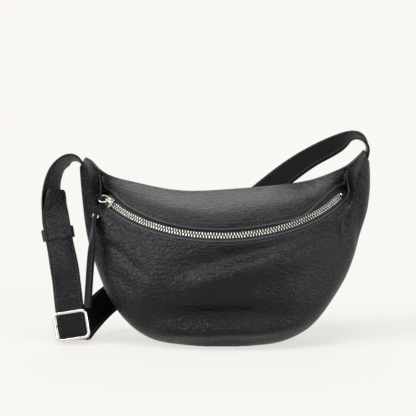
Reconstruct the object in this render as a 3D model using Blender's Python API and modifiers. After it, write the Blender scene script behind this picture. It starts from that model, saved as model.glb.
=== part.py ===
"""Half-moon belt bag: leather panels, metal zip, strap and slide buckle, one object per piece."""

import math

import bmesh
import bpy
import numpy as np

COLLECTION_NAME = "belt_bag"

# Driving sizes of the bag, in metres
HALF_WIDTH = 0.130
DEPTH = 0.084
TIP_HEIGHT = 0.160
LEATHER = 0.0020
LINING = 0.0008
FIT = 0.0003

# Driving sizes of the zip
ZIP_RADIUS = 0.122
ZIP_SLOPE = math.radians(27.0)
ZIP_TILT = math.radians(1.5)
ZIP_CONE = math.radians(40.0)
ZIP_LOW_Y_SHARE = -0.333
ZIP_LOW_Z_SHARE = 0.619
ZIP_HALF_ANGLE = math.radians(60.9)
WINDOW_HALF = 0.0053
TOOTH_PITCH = 0.00254
TOOTH_LONG = 0.0010
TOOTH_REACH = 0.0011
TOOTH_ROOT = 0.0030
TOOTH_HIGH = 0.0024
TAPE = 0.0006
TAPE_EDGE = 0.0017
TAPE_UNDER = 0.0015
CHAIN_MARGIN = 0.0070
STOP_LONG = 0.0030
TOP_STOP_LONG = 0.0014
TAB_LONG = 0.0080
TAB_THICK = 0.0010
TAB_UNDER_SHARE = -0.05

# Driving sizes of the strap and its metal
STRAP_WIDE = 0.0250
STRAP_THICK = 0.0026
BUCKLE_WIDE = 0.0310
BUCKLE_HIGH = 0.0262
BUCKLE_WIRE = 0.0024
RING_WIRE = 0.0014
RING_WIDE = 0.0100
PULL_LONG = 0.1000
PULL_WIDE = 0.0078
PULL_NECK = 0.0015
PULL_THICK = 0.0014
PULL_PINCH = 0.0110
PULL_FOLD = 0.0220
PULL_LOOSE_SHARE = 1.20
RING_FACING_SHARES = (0.08, 0.55, 0.83)
RING_PLACE_SHARES = (-0.40, -0.15, -0.08)
RING_HANG_SHARES = (-0.55, -0.85, 0.0)
PULL_ROUTE_SHARES = [
    (0.0, 0.0, 0.0),
    (-0.014, -0.037, -0.080),
    (-0.027, -0.117, -0.165),
    (-0.040, -0.220, -0.330),
    (-0.060, -0.292, -0.600),
    (-0.077, -0.345, -0.865),
]
RIVET_WIDE = 0.0036
RIVET_HEAD = 0.0010
KEEPER_HIGH = 0.0105
KEEPER_THICK = 0.0014
KEEPER_SLACK = 0.0009
BUCKLE_DEEP = 0.0032
BAR_RADIUS = 0.0013
SLIDER_LONG = 0.0100
SLIDER_PLATE = 0.0012
SLIDER_FLANGE = 0.0008
SLIDER_POST = 0.0014
SLIDER_PAST = 0.0006
BAIL_HIGH = 0.0040
BAIL_WIRE = 0.0012
LIFT_DROP_SHARE = 0.5

# Ends of the zip window and of the slits, as shares of the half crescent
WINDOW_SHARE = 0.58
SLIT_LEFT_SHARE = 0.70
SLIT_RIGHT_SHARE = 0.69

# Stations along the crescent, and the top seam and outer silhouette there as shares of
# half width, depth and tip height
STATION_SHARES = np.array(
    [-1.0, -0.85, -0.7, -0.55, -0.4, -0.2, 0.0, 0.2, 0.4, 0.55, 0.7, 0.85, 1.0]
)
TOP_SEAM_SHARES = np.array(
    [
        (-0.969, 0.31, 0.996),
        (-0.920, 0.36, 0.974),
        (-0.870, 0.39, 0.933),
        (-0.778, 0.42, 0.891),
        (-0.634, 0.42, 0.863),
        (-0.343, 0.40, 0.819),
        (-0.025, 0.39, 0.822),
        (0.321, 0.40, 0.844),
        (0.597, 0.42, 0.877),
        (0.748, 0.42, 0.919),
        (0.837, 0.39, 0.955),
        (0.903, 0.36, 0.999),
        (0.952, 0.31, 1.036),
    ]
)
SILHOUETTE_SHARES = np.array(
    [
        (-1.001, 0.31, 0.957),
        (-0.992, 0.30, 0.826),
        (-0.962, 0.26, 0.626),
        (-0.892, 0.19, 0.394),
        (-0.739, 0.10, 0.165),
        (-0.464, 0.00, -0.020),
        (-0.026, 0.00, -0.040),
        (0.398, 0.00, -0.020),
        (0.675, 0.10, 0.159),
        (0.828, 0.19, 0.354),
        (0.912, 0.26, 0.546),
        (0.972, 0.30, 0.758),
        (0.986, 0.31, 0.988),
    ]
)
# Fullness of the front, of its upper part, of the underside and height of the back seam
BULGE_SHARES = np.array(
    [0.24, 0.23, 0.19, 0.25, 0.43, 0.58, 0.62, 0.58, 0.43, 0.25, 0.19, 0.23, 0.24]
)
ROLL_SHARES = np.array(
    [0.15, 0.20, 0.26, 0.33, 0.40, 0.43, 0.43, 0.43, 0.40, 0.33, 0.26, 0.20, 0.15]
)
BACK_SEAM_SHARES = np.array(
    [0.42, 0.24, 0.19, 0.17, 0.16, 0.15, 0.15, 0.15, 0.16, 0.17, 0.19, 0.24, 0.42]
)
TURN_OVER_SHARES = np.array(
    [0.04, 0.05, 0.05, 0.04, 0.02, 0.01, 0.01, 0.01, 0.02, 0.04, 0.05, 0.05, 0.04]
)
BACK_Y_SHARE = 0.50
PARED_SHARE = 0.65

# Routes of the strap as shares of half width, depth and tip height, each with the way its
# left or upper edge points: the tip end in front, the long run behind, the short arch
TIP_ROUTE_SHARES = [
    (-1.154, 0.131, 0.838, -0.60, -0.80, 0.0),
    (-1.158, 0.107, 0.763, -0.68, -0.73, 0.0),
    (-1.155, 0.089, 0.688, -0.84, -0.53, -0.03),
    (-1.143, 0.071, 0.624, -0.84, -0.53, -0.03),
    (-1.115, 0.024, 0.510, -0.84, -0.53, -0.05),
    (-1.083, -0.048, 0.338, -0.98, -0.10, -0.13),
    (-1.064, -0.119, 0.210, -0.99, 0.0, -0.14),
    (-1.054, -0.143, 0.150, -0.99, 0.0, -0.14),
    (-1.045, -0.155, 0.100, -0.99, 0.0, -0.14),
    (-1.036, -0.150, 0.055, -0.99, 0.0, -0.14),
]
LONG_ROUTE_SHARES = [
    (-1.036, -0.150, 0.055, -0.99, 0.0, -0.14),
    (-1.031, -0.120, 0.028, -0.99, 0.0, -0.12),
    (-1.022, -0.050, 0.026, -0.98, 0.0, 0.0),
    (-1.000, 0.040, 0.052, -0.93, 0.0, 0.25),
    (-0.950, 0.210, 0.096, -0.78, 0.15, 0.58),
    (-0.885, 0.400, 0.142, -0.62, 0.20, 0.75),
    (-0.790, 0.525, 0.200, -0.58, 0.12, 0.80),
    (-0.600, 0.560, 0.295, -0.60, 0.0, 0.80),
    (-0.270, 0.570, 0.445, -0.60, 0.10, 0.80),
    (0.000, 0.590, 0.600, -0.55, 0.35, 0.74),
    (0.268, 0.630, 0.790, -0.44, 0.66, 0.60),
    (0.463, 0.630, 0.918, -0.40, 0.74, 0.54),
    (0.602, 0.600, 0.995, -0.34, 0.80, 0.48),
    (0.805, 0.492, 1.086, -0.20, 0.90, 0.36),
    (0.919, 0.393, 1.112, 0.0, 1.0, 0.10),
    (0.971, 0.340, 1.069, 0.0, 1.0, 0.0),
    (0.969, 0.335, 1.015, 0.0, 1.0, 0.0),
    (0.954, 0.345, 0.965, 0.0, 1.0, 0.0),
    (0.947, 0.345, 0.945, 0.0, 1.0, 0.0),
]
SHORT_ROUTE_SHARES = [
    (-0.957, 0.345, 0.934, 0.0, -1.0, 0.0),
    (-0.971, 0.340, 0.956, 0.0, -1.0, 0.0),
    (-0.995, 0.325, 0.981, 0.0, -1.0, 0.10),
    (-1.054, 0.292, 0.999, 0.0, -0.90, 0.43),
    (-1.127, 0.270, 0.972, -0.20, -0.88, 0.40),
    (-1.170, 0.245, 0.916, -0.40, -0.88, 0.26),
    (-1.190, 0.215, 0.838, -0.52, -0.85, 0.08),
    (-1.182, 0.178, 0.763, -0.70, -0.71, 0.0),
    (-1.166, 0.135, 0.690, -0.84, -0.53, 0.0),
]
ROOT_WIDTH_SHARES = [0.38, 0.40, 0.44, 0.52, 0.68, 0.86, 0.96]
BAR_DROP_SHARE = 0.935
MEET_DROP_SHARE = 0.22
KEEPER_DROP_SHARE = 0.30
FOLD_BACK = 0.0220
BUCKLE_FREE = 0.0010
BODY_SIZE = np.array([HALF_WIDTH, DEPTH, TIP_HEIGHT])


def unit(vectors):
    """Vectors of length one, along the last axis."""
    return vectors / np.linalg.norm(vectors, axis=-1, keepdims=True)


def spline(stations, values, at):
    """Natural cubic curve through the values at the stations, read at the given places."""
    stations = np.asarray(stations, float)
    values = np.asarray(values, float)
    flat = values.reshape(len(stations), -1)
    step = np.diff(stations)
    system = np.eye(len(stations))
    right = np.zeros_like(flat)
    for i in range(1, len(stations) - 1):
        system[i, i - 1] = step[i - 1]
        system[i, i] = 2 * (step[i - 1] + step[i])
        system[i, i + 1] = step[i]
        after = (flat[i + 1] - flat[i]) / step[i]
        before = (flat[i] - flat[i - 1]) / step[i - 1]
        right[i] = 6 * (after - before)
    bend = np.linalg.solve(system, right)
    at = np.asarray(at, float)
    k = np.clip(np.searchsorted(stations, at) - 1, 0, len(step) - 1)
    width = step[k][:, None]
    left = (stations[k + 1] - at)[:, None]
    gone = (at - stations[k])[:, None]
    curve = bend[k] * left**3 / (6 * width) + bend[k + 1] * gone**3 / (6 * width)
    curve += (flat[k] / width - bend[k] * width / 6) * left
    curve += (flat[k + 1] / width - bend[k + 1] * width / 6) * gone
    return curve.reshape((len(at),) + values.shape[1:])


def smooth_step(values):
    """Eased ramp from zero to one."""
    values = np.clip(values, 0.0, 1.0)
    return values * values * (3 - 2 * values)


def bezier(p0, p1, p2, p3, t):
    """Cubic curves, one per row of points, read at every t."""
    t = np.asarray(t)[None, :, None]
    points = [np.asarray(p)[:, None, :] for p in (p0, p1, p2, p3)]
    s = 1 - t
    return (
        points[0] * s**3
        + points[1] * 3 * s * s * t
        + points[2] * 3 * s * t * t
        + points[3] * t**3
    )


def zip_turn():
    """Turn of the zip's plane about the front-to-back axis."""
    cos, sin = math.cos(ZIP_TILT), math.sin(ZIP_TILT)
    return np.array([[cos, 0, -sin], [0, 1, 0], [sin, 0, cos]])


def zip_low_point():
    """Lowest point of the zip's curve."""
    return np.array([0.0, ZIP_LOW_Y_SHARE * DEPTH, ZIP_LOW_Z_SHARE * TIP_HEIGHT])


def zip_axes(angles):
    """Points of the zip's arc with the directions along it, down the tape and off its face."""
    angles = np.atleast_1d(np.asarray(angles, float))
    turn = zip_turn()
    normal = turn @ np.array([0.0, -math.sin(ZIP_SLOPE), math.cos(ZIP_SLOPE)])
    low = turn @ np.array([0.0, -math.cos(ZIP_SLOPE), -math.sin(ZIP_SLOPE)])
    side = turn @ np.array([1.0, 0.0, 0.0])
    centre = zip_low_point() - ZIP_RADIUS * low
    radial = np.sin(angles)[:, None] * side + np.cos(angles)[:, None] * low
    along = np.cos(angles)[:, None] * side - np.sin(angles)[:, None] * low
    off = normal * math.cos(ZIP_CONE) + radial * math.sin(ZIP_CONE)
    down = -normal * math.sin(ZIP_CONE) + radial * math.cos(ZIP_CONE)
    return centre + ZIP_RADIUS * radial, along, down, off, centre, normal


def top_seam(u):
    """Top seam of the bag."""
    return spline(STATION_SHARES, TOP_SEAM_SHARES, u) * BODY_SIZE


def silhouette(u):
    """Outer line of the bag as seen from the front."""
    return spline(STATION_SHARES, SILHOUETTE_SHARES, u) * BODY_SIZE


def slit_end(u):
    """Share of the half crescent at which the slit on this side reaches the top seam."""
    return np.where(u < 0, SLIT_LEFT_SHARE, SLIT_RIGHT_SHARE)


def window_line(u):
    """Middle of the zip window and of its slits, the way down from it and the way off it."""
    u = np.asarray(u, float)
    side = np.where(u < 0, -1.0, 1.0)
    inside = np.minimum(np.abs(u), WINDOW_SHARE)
    angle = side * ZIP_HALF_ANGLE * inside / WINDOW_SHARE
    point, along, down, off, _, _ = zip_axes(angle)
    run = (np.abs(u) - WINDOW_SHARE) / (slit_end(u) - WINDOW_SHARE)
    run = np.clip(run, 0.0, 1.0)[:, None]
    end = top_seam(side * slit_end(u))
    reach = np.linalg.norm(end - point, axis=1)[:, None]
    leave = point + along * side[:, None] * reach * 0.4
    arrive = end + (point - end) * 0.35
    s = 1 - run
    bent = (
        point * s**3 + 3 * leave * s * s * run + 3 * arrive * s * run * run + end * run**3
    )
    return np.where(run > 0, bent, point), down, off


def window_half(u):
    """Half width of the window, narrowing to the slit."""
    start = WINDOW_SHARE * 0.93
    close = smooth_step((np.abs(u) - start) / (WINDOW_SHARE * 1.10 - start))
    return WINDOW_HALF + (4 * FIT - WINDOW_HALF) * close


def fall_away(u):
    """Direction in which the front panel leaves its upper edge."""
    _, down, _ = window_line(u)
    turn = smooth_step((np.abs(u) - WINDOW_SHARE) / (1 - WINDOW_SHARE))[:, None]
    forward = np.array([0.0, -1.0, 0.0])
    return unit(down * (1 - turn) + forward * turn)


def edge_lift(u):
    """Height of the leather's face over the tape beside the window."""
    return (LEATHER + FIT + TAPE / 2) * (1 - smooth_step((np.abs(u) - WINDOW_SHARE) / 0.08))


def front_edge(u):
    """Upper edge of the front panel: window and slits, then the top seam of the wings."""
    middle, down, off = window_line(u)
    apart = window_half(u)[:, None]
    rail = middle + down * apart + off * edge_lift(u)[:, None]
    seam = top_seam(u) - np.array([0.0, FIT, 0.0])
    share = smooth_step((np.abs(u) - slit_end(u) + 0.05) / 0.06)[:, None]
    return rail * (1 - share) + seam * share


def front_section(u, t):
    """Front panel from its upper edge to the silhouette."""
    edge = front_edge(u)
    outer = silhouette(u)
    roll = spline(STATION_SHARES, ROLL_SHARES, u)[:, None] * DEPTH
    bulge = spline(STATION_SHARES, BULGE_SHARES, u)[:, None] * DEPTH
    ahead = outer - np.array([0.0, 1.0, 0.0]) * bulge
    return bezier(edge, edge + fall_away(u) * roll, ahead, outer, t)


def back_seam(u):
    """Seam low on the back between the front panel and the back panel."""
    outer = silhouette(u)
    share = spline(STATION_SHARES, BACK_SEAM_SHARES, u)[:, None]
    seam = outer + (top_seam(u) - outer) * share
    seam[:, 1] = BACK_Y_SHARE * DEPTH - 0.06 * DEPTH * (1 - u * u)
    return seam


def under_section(u, t):
    """Front panel from the silhouette round to the back seam."""
    outer = silhouette(u)
    seam = back_seam(u)
    depth = (seam - outer)[:, 1:2]
    rise = seam - outer
    rise[:, 1] = 0.0
    behind = outer + np.array([0.0, 1.0, 0.0]) * depth * 0.60
    return bezier(outer, behind, seam - rise * 0.55, seam, t)


def back_section(u, t):
    """Back panel from the back seam over the top edge to the top seam."""
    seam = back_seam(u)
    top = top_seam(u)
    rise = top - seam
    rise[:, 1] = 0.0
    length = np.linalg.norm(rise, axis=1)[:, None]
    up = rise / length
    turned = spline(STATION_SHARES, TURN_OVER_SHARES, u)[:, None] * DEPTH
    behind = np.array([0.0, 1.0, 0.0]) * DEPTH
    low = seam + up * length * 0.35 + behind * 0.02
    high = top + up * turned * 1.6 + behind * 0.13
    return bezier(seam, low, high, top + behind * 0.004, t)


def upper_section(u, t):
    """Upper panel from the top seam down to the window."""
    middle, down, off = window_line(u)
    apart = window_half(u)[:, None]
    rail = middle - down * apart + off * edge_lift(u)[:, None]
    top = top_seam(u) - np.array([0.0, FIT, 0.0])
    fall = rail - top
    length = np.linalg.norm(fall, axis=1)[:, None]
    start = top + fall * 0.30 + off * length * 0.05
    end = rail - down * length * 0.36
    return bezier(top, start, end, rail, t)


def on_floor(points, height=0.0):
    """Points with none below the given height."""
    points = points.copy()
    points[..., 2] = np.maximum(points[..., 2], height)
    return points


def spread(low, high, count, even=0.55):
    """Places between two ends, closer together towards the ends."""
    plain = np.linspace(-1.0, 1.0, count)
    eased = even * plain + (1 - even) * np.sin(plain * math.pi / 2)
    return low + (high - low) * (eased + 1) / 2


def clear_scene():
    """Leaves the scene empty."""
    for obj in list(bpy.data.objects):
        bpy.data.objects.remove(obj, do_unlink=True)


def collection(name, hidden=False):
    """The named collection, made when it isn't there."""
    found = bpy.data.collections.get(name)
    if found is None:
        found = bpy.data.collections.new(name)
        bpy.context.scene.collection.children.link(found)
        found.hide_render = hidden
    return found


def material(name, colour, roughness, metallic=0.0):
    """A plain Principled material."""
    made = bpy.data.materials.new(name)
    made.use_nodes = True
    shader = made.node_tree.nodes["Principled BSDF"]
    shader.inputs["Base Color"].default_value = (*colour, 1.0)
    shader.inputs["Roughness"].default_value = roughness
    shader.inputs["Metallic"].default_value = metallic
    return made


def mesh_object(name, vertices, faces, finish, outward=True):
    """A mesh object from points and faces, with its faces turned outwards."""
    mesh = bpy.data.meshes.new(name)
    mesh.from_pydata([tuple(map(float, v)) for v in vertices], [], faces)
    shape = bmesh.new()
    shape.from_mesh(mesh)
    bmesh.ops.remove_doubles(shape, verts=shape.verts, dist=FIT / 100)
    if outward:
        bmesh.ops.recalc_face_normals(shape, faces=shape.faces)
    shape.to_mesh(mesh)
    shape.free()
    mesh.materials.append(finish)
    obj = bpy.data.objects.new(name, mesh)
    collection(COLLECTION_NAME).objects.link(obj)
    return obj


def grid_faces(rows, columns, start=0):
    """Quads of a grid of points."""
    faces = []
    for i in range(rows - 1):
        for j in range(columns - 1):
            a = start + i * columns + j
            faces.append((a, a + 1, a + columns + 1, a + columns))
    return faces


def grid_normals(grid):
    """Unit normals of a grid of points."""
    across = np.gradient(grid, axis=0)
    down = np.gradient(grid, axis=1)
    return unit(np.cross(across, down))


def two_sided(outer, inner):
    """Points and faces of the solid between two like grids."""
    rows, columns = outer.shape[:2]
    count = rows * columns
    vertices = np.concatenate([outer.reshape(-1, 3), inner.reshape(-1, 3)])
    faces = grid_faces(rows, columns)
    faces += [tuple(reversed(f)) for f in grid_faces(rows, columns, count)]
    rim = [i * columns for i in range(rows)]
    rim += [(rows - 1) * columns + j for j in range(1, columns)]
    rim += [i * columns + columns - 1 for i in range(rows - 2, -1, -1)]
    rim += [j for j in range(columns - 2, 0, -1)]
    for a, b in zip(rim, rim[1:] + rim[:1]):
        faces.append((a, b, b + count, a + count))
    return vertices, faces


def panel(name, grid, thickness, finish, sink=0.0, floor=0.0, seams=(None, None)):
    """A sheet under a grid, sunk first when asked, with the given inward ways at its seams."""
    inward = grid_normals(grid)
    for column, way in zip((0, -1), seams):
        if way is not None:
            inward[:, column] = way
    outer = on_floor(grid + inward * sink, floor)
    inner = on_floor(grid + inward * (sink + thickness), floor + np.max(thickness))
    return mesh_object(name, *two_sided(outer, inner), finish)


def seam_inward(u):
    """Way into the bag at the top seam."""
    return unit(silhouette(u) - top_seam(u))


def front_grid(low, high, rows, roll_columns=13, under_columns=6):
    """Grid over the front panel, from its upper edge down and under to the back seam."""
    u = spread(low, high, rows)
    front = front_section(u, np.linspace(0, 1, roll_columns))
    under = under_section(u, np.linspace(0, 1, under_columns))
    return np.concatenate([front, under[:, 1:]], axis=1)


def back_grid(low, high, rows, columns=9):
    """Grid over the back panel, from the back seam up to the top seam."""
    u = spread(low, high, rows)
    return back_section(u, np.linspace(0, 1, columns))


def build_panels(leather, cloth):
    """The three leather panels, their linings and the slip pocket."""
    u = spread(-1.0, 1.0, 46)
    inside = spread(-SLIT_LEFT_SHARE + 0.035, SLIT_RIGHT_SHARE - 0.035, 32)
    ahead = np.array([0.0, -1.0, 0.0])
    top = seam_inward(u)
    wing = np.abs(u) >= slit_end(u) - 0.04
    front = front_grid(-1.0, 1.0, 46)
    way = np.where(wing[:, None], top, -window_line(u)[2])
    pared = 1 - PARED_SHARE * np.abs(u)[:, None, None] ** 8
    mouth = 1 - PARED_SHARE / 2 * np.abs(u)[:, None, None] ** 20
    front_thick = np.full(front.shape[:2] + (1,), LEATHER) * mouth
    front_thick[:, -4:] *= pared
    panel("front_panel", front, front_thick, leather, seams=(way, ahead))
    back = back_grid(-1.0, 1.0, 46)
    back[:, 0] += unit(back[:, 1] - back[:, 0]) * 5 * FIT
    back_thick = np.full(back.shape[:2] + (1,), LEATHER)
    back_thick[:, :5] *= pared
    panel("back_panel", back, back_thick, leather, seams=(ahead, top))
    upper = upper_section(inside, np.array([0.0, 0.25, 0.5, 0.72, 0.88, 1.0]))
    rail = -window_line(inside)[2]
    panel("upper_panel", upper, LEATHER, leather, seams=(seam_inward(inside), rail))
    sink = LEATHER + 3 * FIT
    inner_front = front_grid(-0.60, 0.60, 26, 9, 5)[:, 1:-1]
    inner_back = back_section(spread(-0.58, 0.58, 22), np.linspace(0.14, 0.74, 6))
    inner_upper = upper_section(spread(-0.50, 0.50, 20), np.linspace(0.22, 0.80, 4))
    panel("front_lining", inner_front, LINING, cloth, sink, sink + 4 * FIT)
    panel("back_lining", inner_back, LINING, cloth, sink)
    panel("upper_lining", inner_upper, LINING, cloth, sink)
    pocket = back_section(np.linspace(-0.30, 0.30, 12), np.linspace(0.22, 0.62, 6))
    panel("slip_pocket", pocket, LINING, cloth, sink + LINING + FIT)


def zip_frame(angle):
    """Turn and place that carry local along, up-tape and off-face axes onto the zip."""
    point, along, down, off, _, _ = zip_axes(angle)
    turn = np.stack([along[0], -down[0], off[0]], axis=1)
    return turn, point[0]


def block(centre, size):
    """Points and faces of a box."""
    corners = [(x, y, z) for x in (-1, 1) for y in (-1, 1) for z in (-1, 1)]
    vertices = np.array(centre) + np.array(corners) * np.array(size) / 2
    faces = [
        (0, 1, 3, 2),
        (4, 6, 7, 5),
        (0, 4, 5, 1),
        (2, 3, 7, 6),
        (0, 2, 6, 4),
        (1, 5, 7, 3),
    ]
    return vertices, faces


def joined(pieces):
    """Points and faces of several shapes in one list."""
    vertices = []
    faces = []
    for points, quads in pieces:
        start = sum(len(v) for v in vertices)
        vertices.append(np.asarray(points))
        faces += [tuple(i + start for i in q) for q in quads]
    return np.concatenate(vertices), faces


def placed(shape, turn, point):
    """A shape carried from its own axes to the world."""
    vertices, faces = shape
    return vertices @ np.asarray(turn).T + np.asarray(point), faces


def united(target, other):
    """The target with another object fused into it."""
    fuse = target.modifiers.new("fuse", "BOOLEAN")
    fuse.operation = "UNION"
    fuse.solver = "EXACT"
    fuse.object = other
    graph = bpy.context.evaluated_depsgraph_get()
    bpy.context.view_layer.update()
    mesh = bpy.data.meshes.new_from_object(target.evaluated_get(graph))
    target.modifiers.clear()
    target.data = mesh
    bpy.data.objects.remove(other, do_unlink=True)
    return target


def tooth_angles(shift):
    """Angles of one side's teeth, with the row shifted by a share of the pitch."""
    half = ZIP_HALF_ANGLE - CHAIN_MARGIN / ZIP_RADIUS
    step = TOOTH_PITCH / ZIP_RADIUS
    count = int(2 * half / step)
    return (np.arange(count) - (count - 1) / 2 + shift) * step


def zip_side(name, side, shift, tape_finish, metal):
    """One side of the zip: its tape with a sewn bead, and its row of teeth."""
    u = np.linspace(-WINDOW_SHARE, WINDOW_SHARE, 53)
    middle, down, off = window_line(u)
    tape_wide = WINDOW_HALF + TAPE_UNDER
    across = np.array([TAPE_EDGE, tape_wide])[None, :, None]
    face = middle[:, None] + side * down[:, None] * across
    upper_side = face + off[:, None] * TAPE / 2
    lower_side = face - off[:, None] * TAPE / 2
    tape = mesh_object(name, *two_sided(upper_side, lower_side), tape_finish)
    long = TOOTH_ROOT + TOOTH_REACH
    centre = (0.0, -side * (TOOTH_ROOT - TOOTH_REACH) / 2, 0.0)
    teeth = []
    for angle in tooth_angles(shift):
        shape = block(centre, (TOOTH_LONG, long, TOOTH_HIGH))
        teeth.append(placed(shape, *zip_frame(angle)))
    row = mesh_object(name + "_row", *joined(teeth), metal)
    return united(tape, row)


def beveled(obj, width, segments=1):
    """The object with its edges eased."""
    ease = obj.modifiers.new("eased", "BEVEL")
    ease.width = width
    ease.segments = segments
    ease.limit_method = "ANGLE"
    return obj


def zip_stop(name, side, metal):
    """A metal stop clamped on one tape's edge at the closed end."""
    angle = tooth_angles(-0.25)[0] - (TOP_STOP_LONG + FIT) / ZIP_RADIUS
    centre = (0.0, -side * (TAPE_EDGE + FIT) / 2, 0.0)
    size = (TOP_STOP_LONG, TAPE_EDGE - FIT, TOOTH_HIGH)
    made = mesh_object(name, *placed(block(centre, size), *zip_frame(angle)), metal)
    return beveled(made, FIT)


def zip_end_tab(name, side, cloth):
    """A cloth tab under the tape ends that closes one end of the zip."""
    angle = side * (ZIP_HALF_ANGLE - TAB_LONG * TAB_UNDER_SHARE / ZIP_RADIUS)
    drop = TOOTH_HIGH / 2 + FIT + TAB_THICK / 2
    size = (TAB_LONG, 2 * WINDOW_HALF, TAB_THICK)
    return mesh_object(name, *placed(block((0.0, 0.0, -drop), size), *zip_frame(angle)), cloth)


def build_zip(tape_finish, metal):
    """Both sides of the zip, its stops and its end tabs."""
    zip_side("zip_lower_chain", 1.0, -0.25, tape_finish, metal)
    zip_side("zip_upper_chain", -1.0, 0.25, tape_finish, metal)
    zip_stop("zip_top_stop_lower", 1.0, metal)
    zip_stop("zip_top_stop_upper", -1.0, metal)
    zip_end_tab("zip_end_tab_left", -1.0, tape_finish)
    zip_end_tab("zip_end_tab_right", 1.0, tape_finish)
    last = tooth_angles(0.25)[-1] + (TOOTH_PITCH * 0.75 + STOP_LONG / 2) / ZIP_RADIUS
    size = (STOP_LONG, 2 * (TAPE_EDGE - FIT), TOOTH_HIGH)
    box = placed(block((0.0, 0.0, 0.0), size), *zip_frame(last))
    return beveled(mesh_object("zip_bottom_stop", *box, metal), 2 * FIT)


def ribbon_shape(path, across, wide, thick):
    """Points and faces of a strip along a path, with its width lying along the given ways."""
    path = np.asarray(path)
    tangent = unit(np.gradient(path, axis=0))
    across = np.asarray(across)
    across = across - tangent * np.sum(across * tangent, axis=1)[:, None]
    across = unit(across)
    normal = np.cross(across, tangent)
    half = np.broadcast_to(np.asarray(wide) / 2, (len(path),))
    edge = across * half[:, None]
    face = np.stack([path - edge, path, path + edge], axis=1)
    lift = normal[:, None] * thick / 2
    return two_sided(face + lift, face - lift)


def along_route(route, count):
    """Even points and width ways along a route of places and ways."""
    route = np.asarray(route, float)
    places = route[:, :3] * BODY_SIZE
    steps = np.linalg.norm(np.diff(places, axis=0), axis=1)
    run = np.concatenate([[0.0], np.cumsum(steps)])
    at = np.linspace(0, run[-1], count)
    return spline(run, places, at), unit(spline(run, unit(route[:, 3:]), at))


def front_layer(count):
    """The strap's tip end in front, from the tip down to the buckle."""
    return along_route(TIP_ROUTE_SHARES, count)


def layer_frame(drop):
    """Place, left way, down way and back way of the front layer at a share of its length."""
    path, across = front_layer(121)
    k = int(round(drop * 120))
    down = unit(path[min(k + 1, 120)] - path[max(k - 1, 0)])
    left = unit(across[k] - down * np.dot(across[k], down))
    back = np.cross(down, left)
    back = back if back[1] > 0 else -back
    return path[k], left, down, back


def root_width(count):
    """Width of a strap along its points, narrowed where it is sewn into the bag."""
    wide = np.full(count, STRAP_WIDE)
    steps = len(ROOT_WIDTH_SHARES)
    wide[:steps] = STRAP_WIDE * np.array(ROOT_WIDTH_SHARES)
    return wide


def build_strap_right(leather):
    """The long strap, from the right tip behind the bag and up through the buckle."""
    tip, tip_across = front_layer(42)
    rest, rest_across = along_route(LONG_ROUTE_SHARES, 64)
    path = np.concatenate([tip, rest[1:]])
    across = np.concatenate([tip_across, rest_across[1:]])
    wide = root_width(len(path))[::-1]
    shape = ribbon_shape(path, across, wide, STRAP_THICK)
    return mesh_object("strap_right", *shape, leather)


def build_strap_left(leather):
    """The short strap, from the left tip down behind the front layer and round the bar."""
    arch, arch_across = along_route(SHORT_ROUTE_SHARES, 24)
    path, across = front_layer(49)
    tangent = unit(np.gradient(path, axis=0))
    side = unit(across - tangent * np.sum(across * tangent, axis=1)[:, None])
    back = np.cross(tangent, side)
    back = back * np.sign(back[:, 1])[:, None]
    layer = STRAP_THICK + FIT
    low = int(round(BAR_DROP_SHARE * 48))
    high = int(round(MEET_DROP_SHARE * 48))
    run = path[high:low] + back[high:low] * layer
    place, left, down, rear = layer_frame(BAR_DROP_SHARE)
    bar = place + rear * 2 * layer
    turns = np.linspace(0, math.pi, 9)
    loop = [bar - rear * layer * math.cos(a) + down * layer * math.sin(a) for a in turns]
    back_up = np.linspace(0, 1, 9)[1:]
    ease = smooth_step(back_up * 2.2)
    climb = [
        bar + rear * layer * (1.0 - 0.97 * e) - down * FOLD_BACK * t
        for t, e in zip(back_up, ease)
    ]
    bend = back[low - 1] - rear
    climb = [c + bend * 2 * layer * t for c, t in zip(climb, back_up)]
    full = np.concatenate([arch[:-1], run, loop, climb])
    ways = [arch_across[:-1], side[high:low], np.tile(left, (len(loop) + len(climb), 1))]
    wide = root_width(len(full))
    shape = ribbon_shape(full, np.concatenate(ways), wide, STRAP_THICK)
    return mesh_object("strap_left", *shape, leather)


def build_keeper(leather):
    """The loop that holds the tip of the strap."""
    place, left, down, back = layer_frame(KEEPER_DROP_SHARE)
    centre = place + back * (STRAP_THICK + FIT) / 2
    deep = 2 * STRAP_THICK + FIT + 2 * KEEPER_SLACK
    wide = STRAP_WIDE + 2 * KEEPER_SLACK
    turn = np.stack([left, back, down], axis=1)
    outer_size = (wide + 2 * KEEPER_THICK, deep + 2 * KEEPER_THICK, KEEPER_HIGH)
    outer = placed(block((0.0, 0.0, 0.0), outer_size), turn, centre)
    inner = placed(block((0.0, 0.0, 0.0), (wide, deep, 2 * KEEPER_HIGH)), turn, centre)
    loop = beveled(mesh_object("strap_keeper", *outer, leather), 2 * FIT)
    return cut(loop, mesh_object("strap_keeper_hole", *inner, leather))


def cut(target, cutter):
    """The target with a cutter taken out of it."""
    bpy.data.collections[COLLECTION_NAME].objects.unlink(cutter)
    collection("cutters", hidden=True).objects.link(cutter)
    cutter.hide_render = True
    cutter.display_type = "WIRE"
    take = target.modifiers.new("hole", "BOOLEAN")
    take.operation = "DIFFERENCE"
    take.solver = "EXACT"
    take.object = cutter
    return target


def rod_shape(start, end, radius, sides=12):
    """Points and faces of a round bar between two points."""
    axis = unit(np.asarray(end) - np.asarray(start))
    first = unit(np.cross(axis, np.array([0.0, 1.0, 0.001])))
    second = np.cross(axis, first)
    turns = np.arange(sides) * 2 * math.pi / sides
    ring = np.cos(turns)[:, None] * first + np.sin(turns)[:, None] * second
    vertices = np.concatenate([start + ring * radius, end + ring * radius])
    faces = [(i, (i + 1) % sides, (i + 1) % sides + sides, i + sides) for i in range(sides)]
    faces.append(tuple(reversed(range(sides))))
    faces.append(tuple(range(sides, 2 * sides)))
    return vertices, faces


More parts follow.
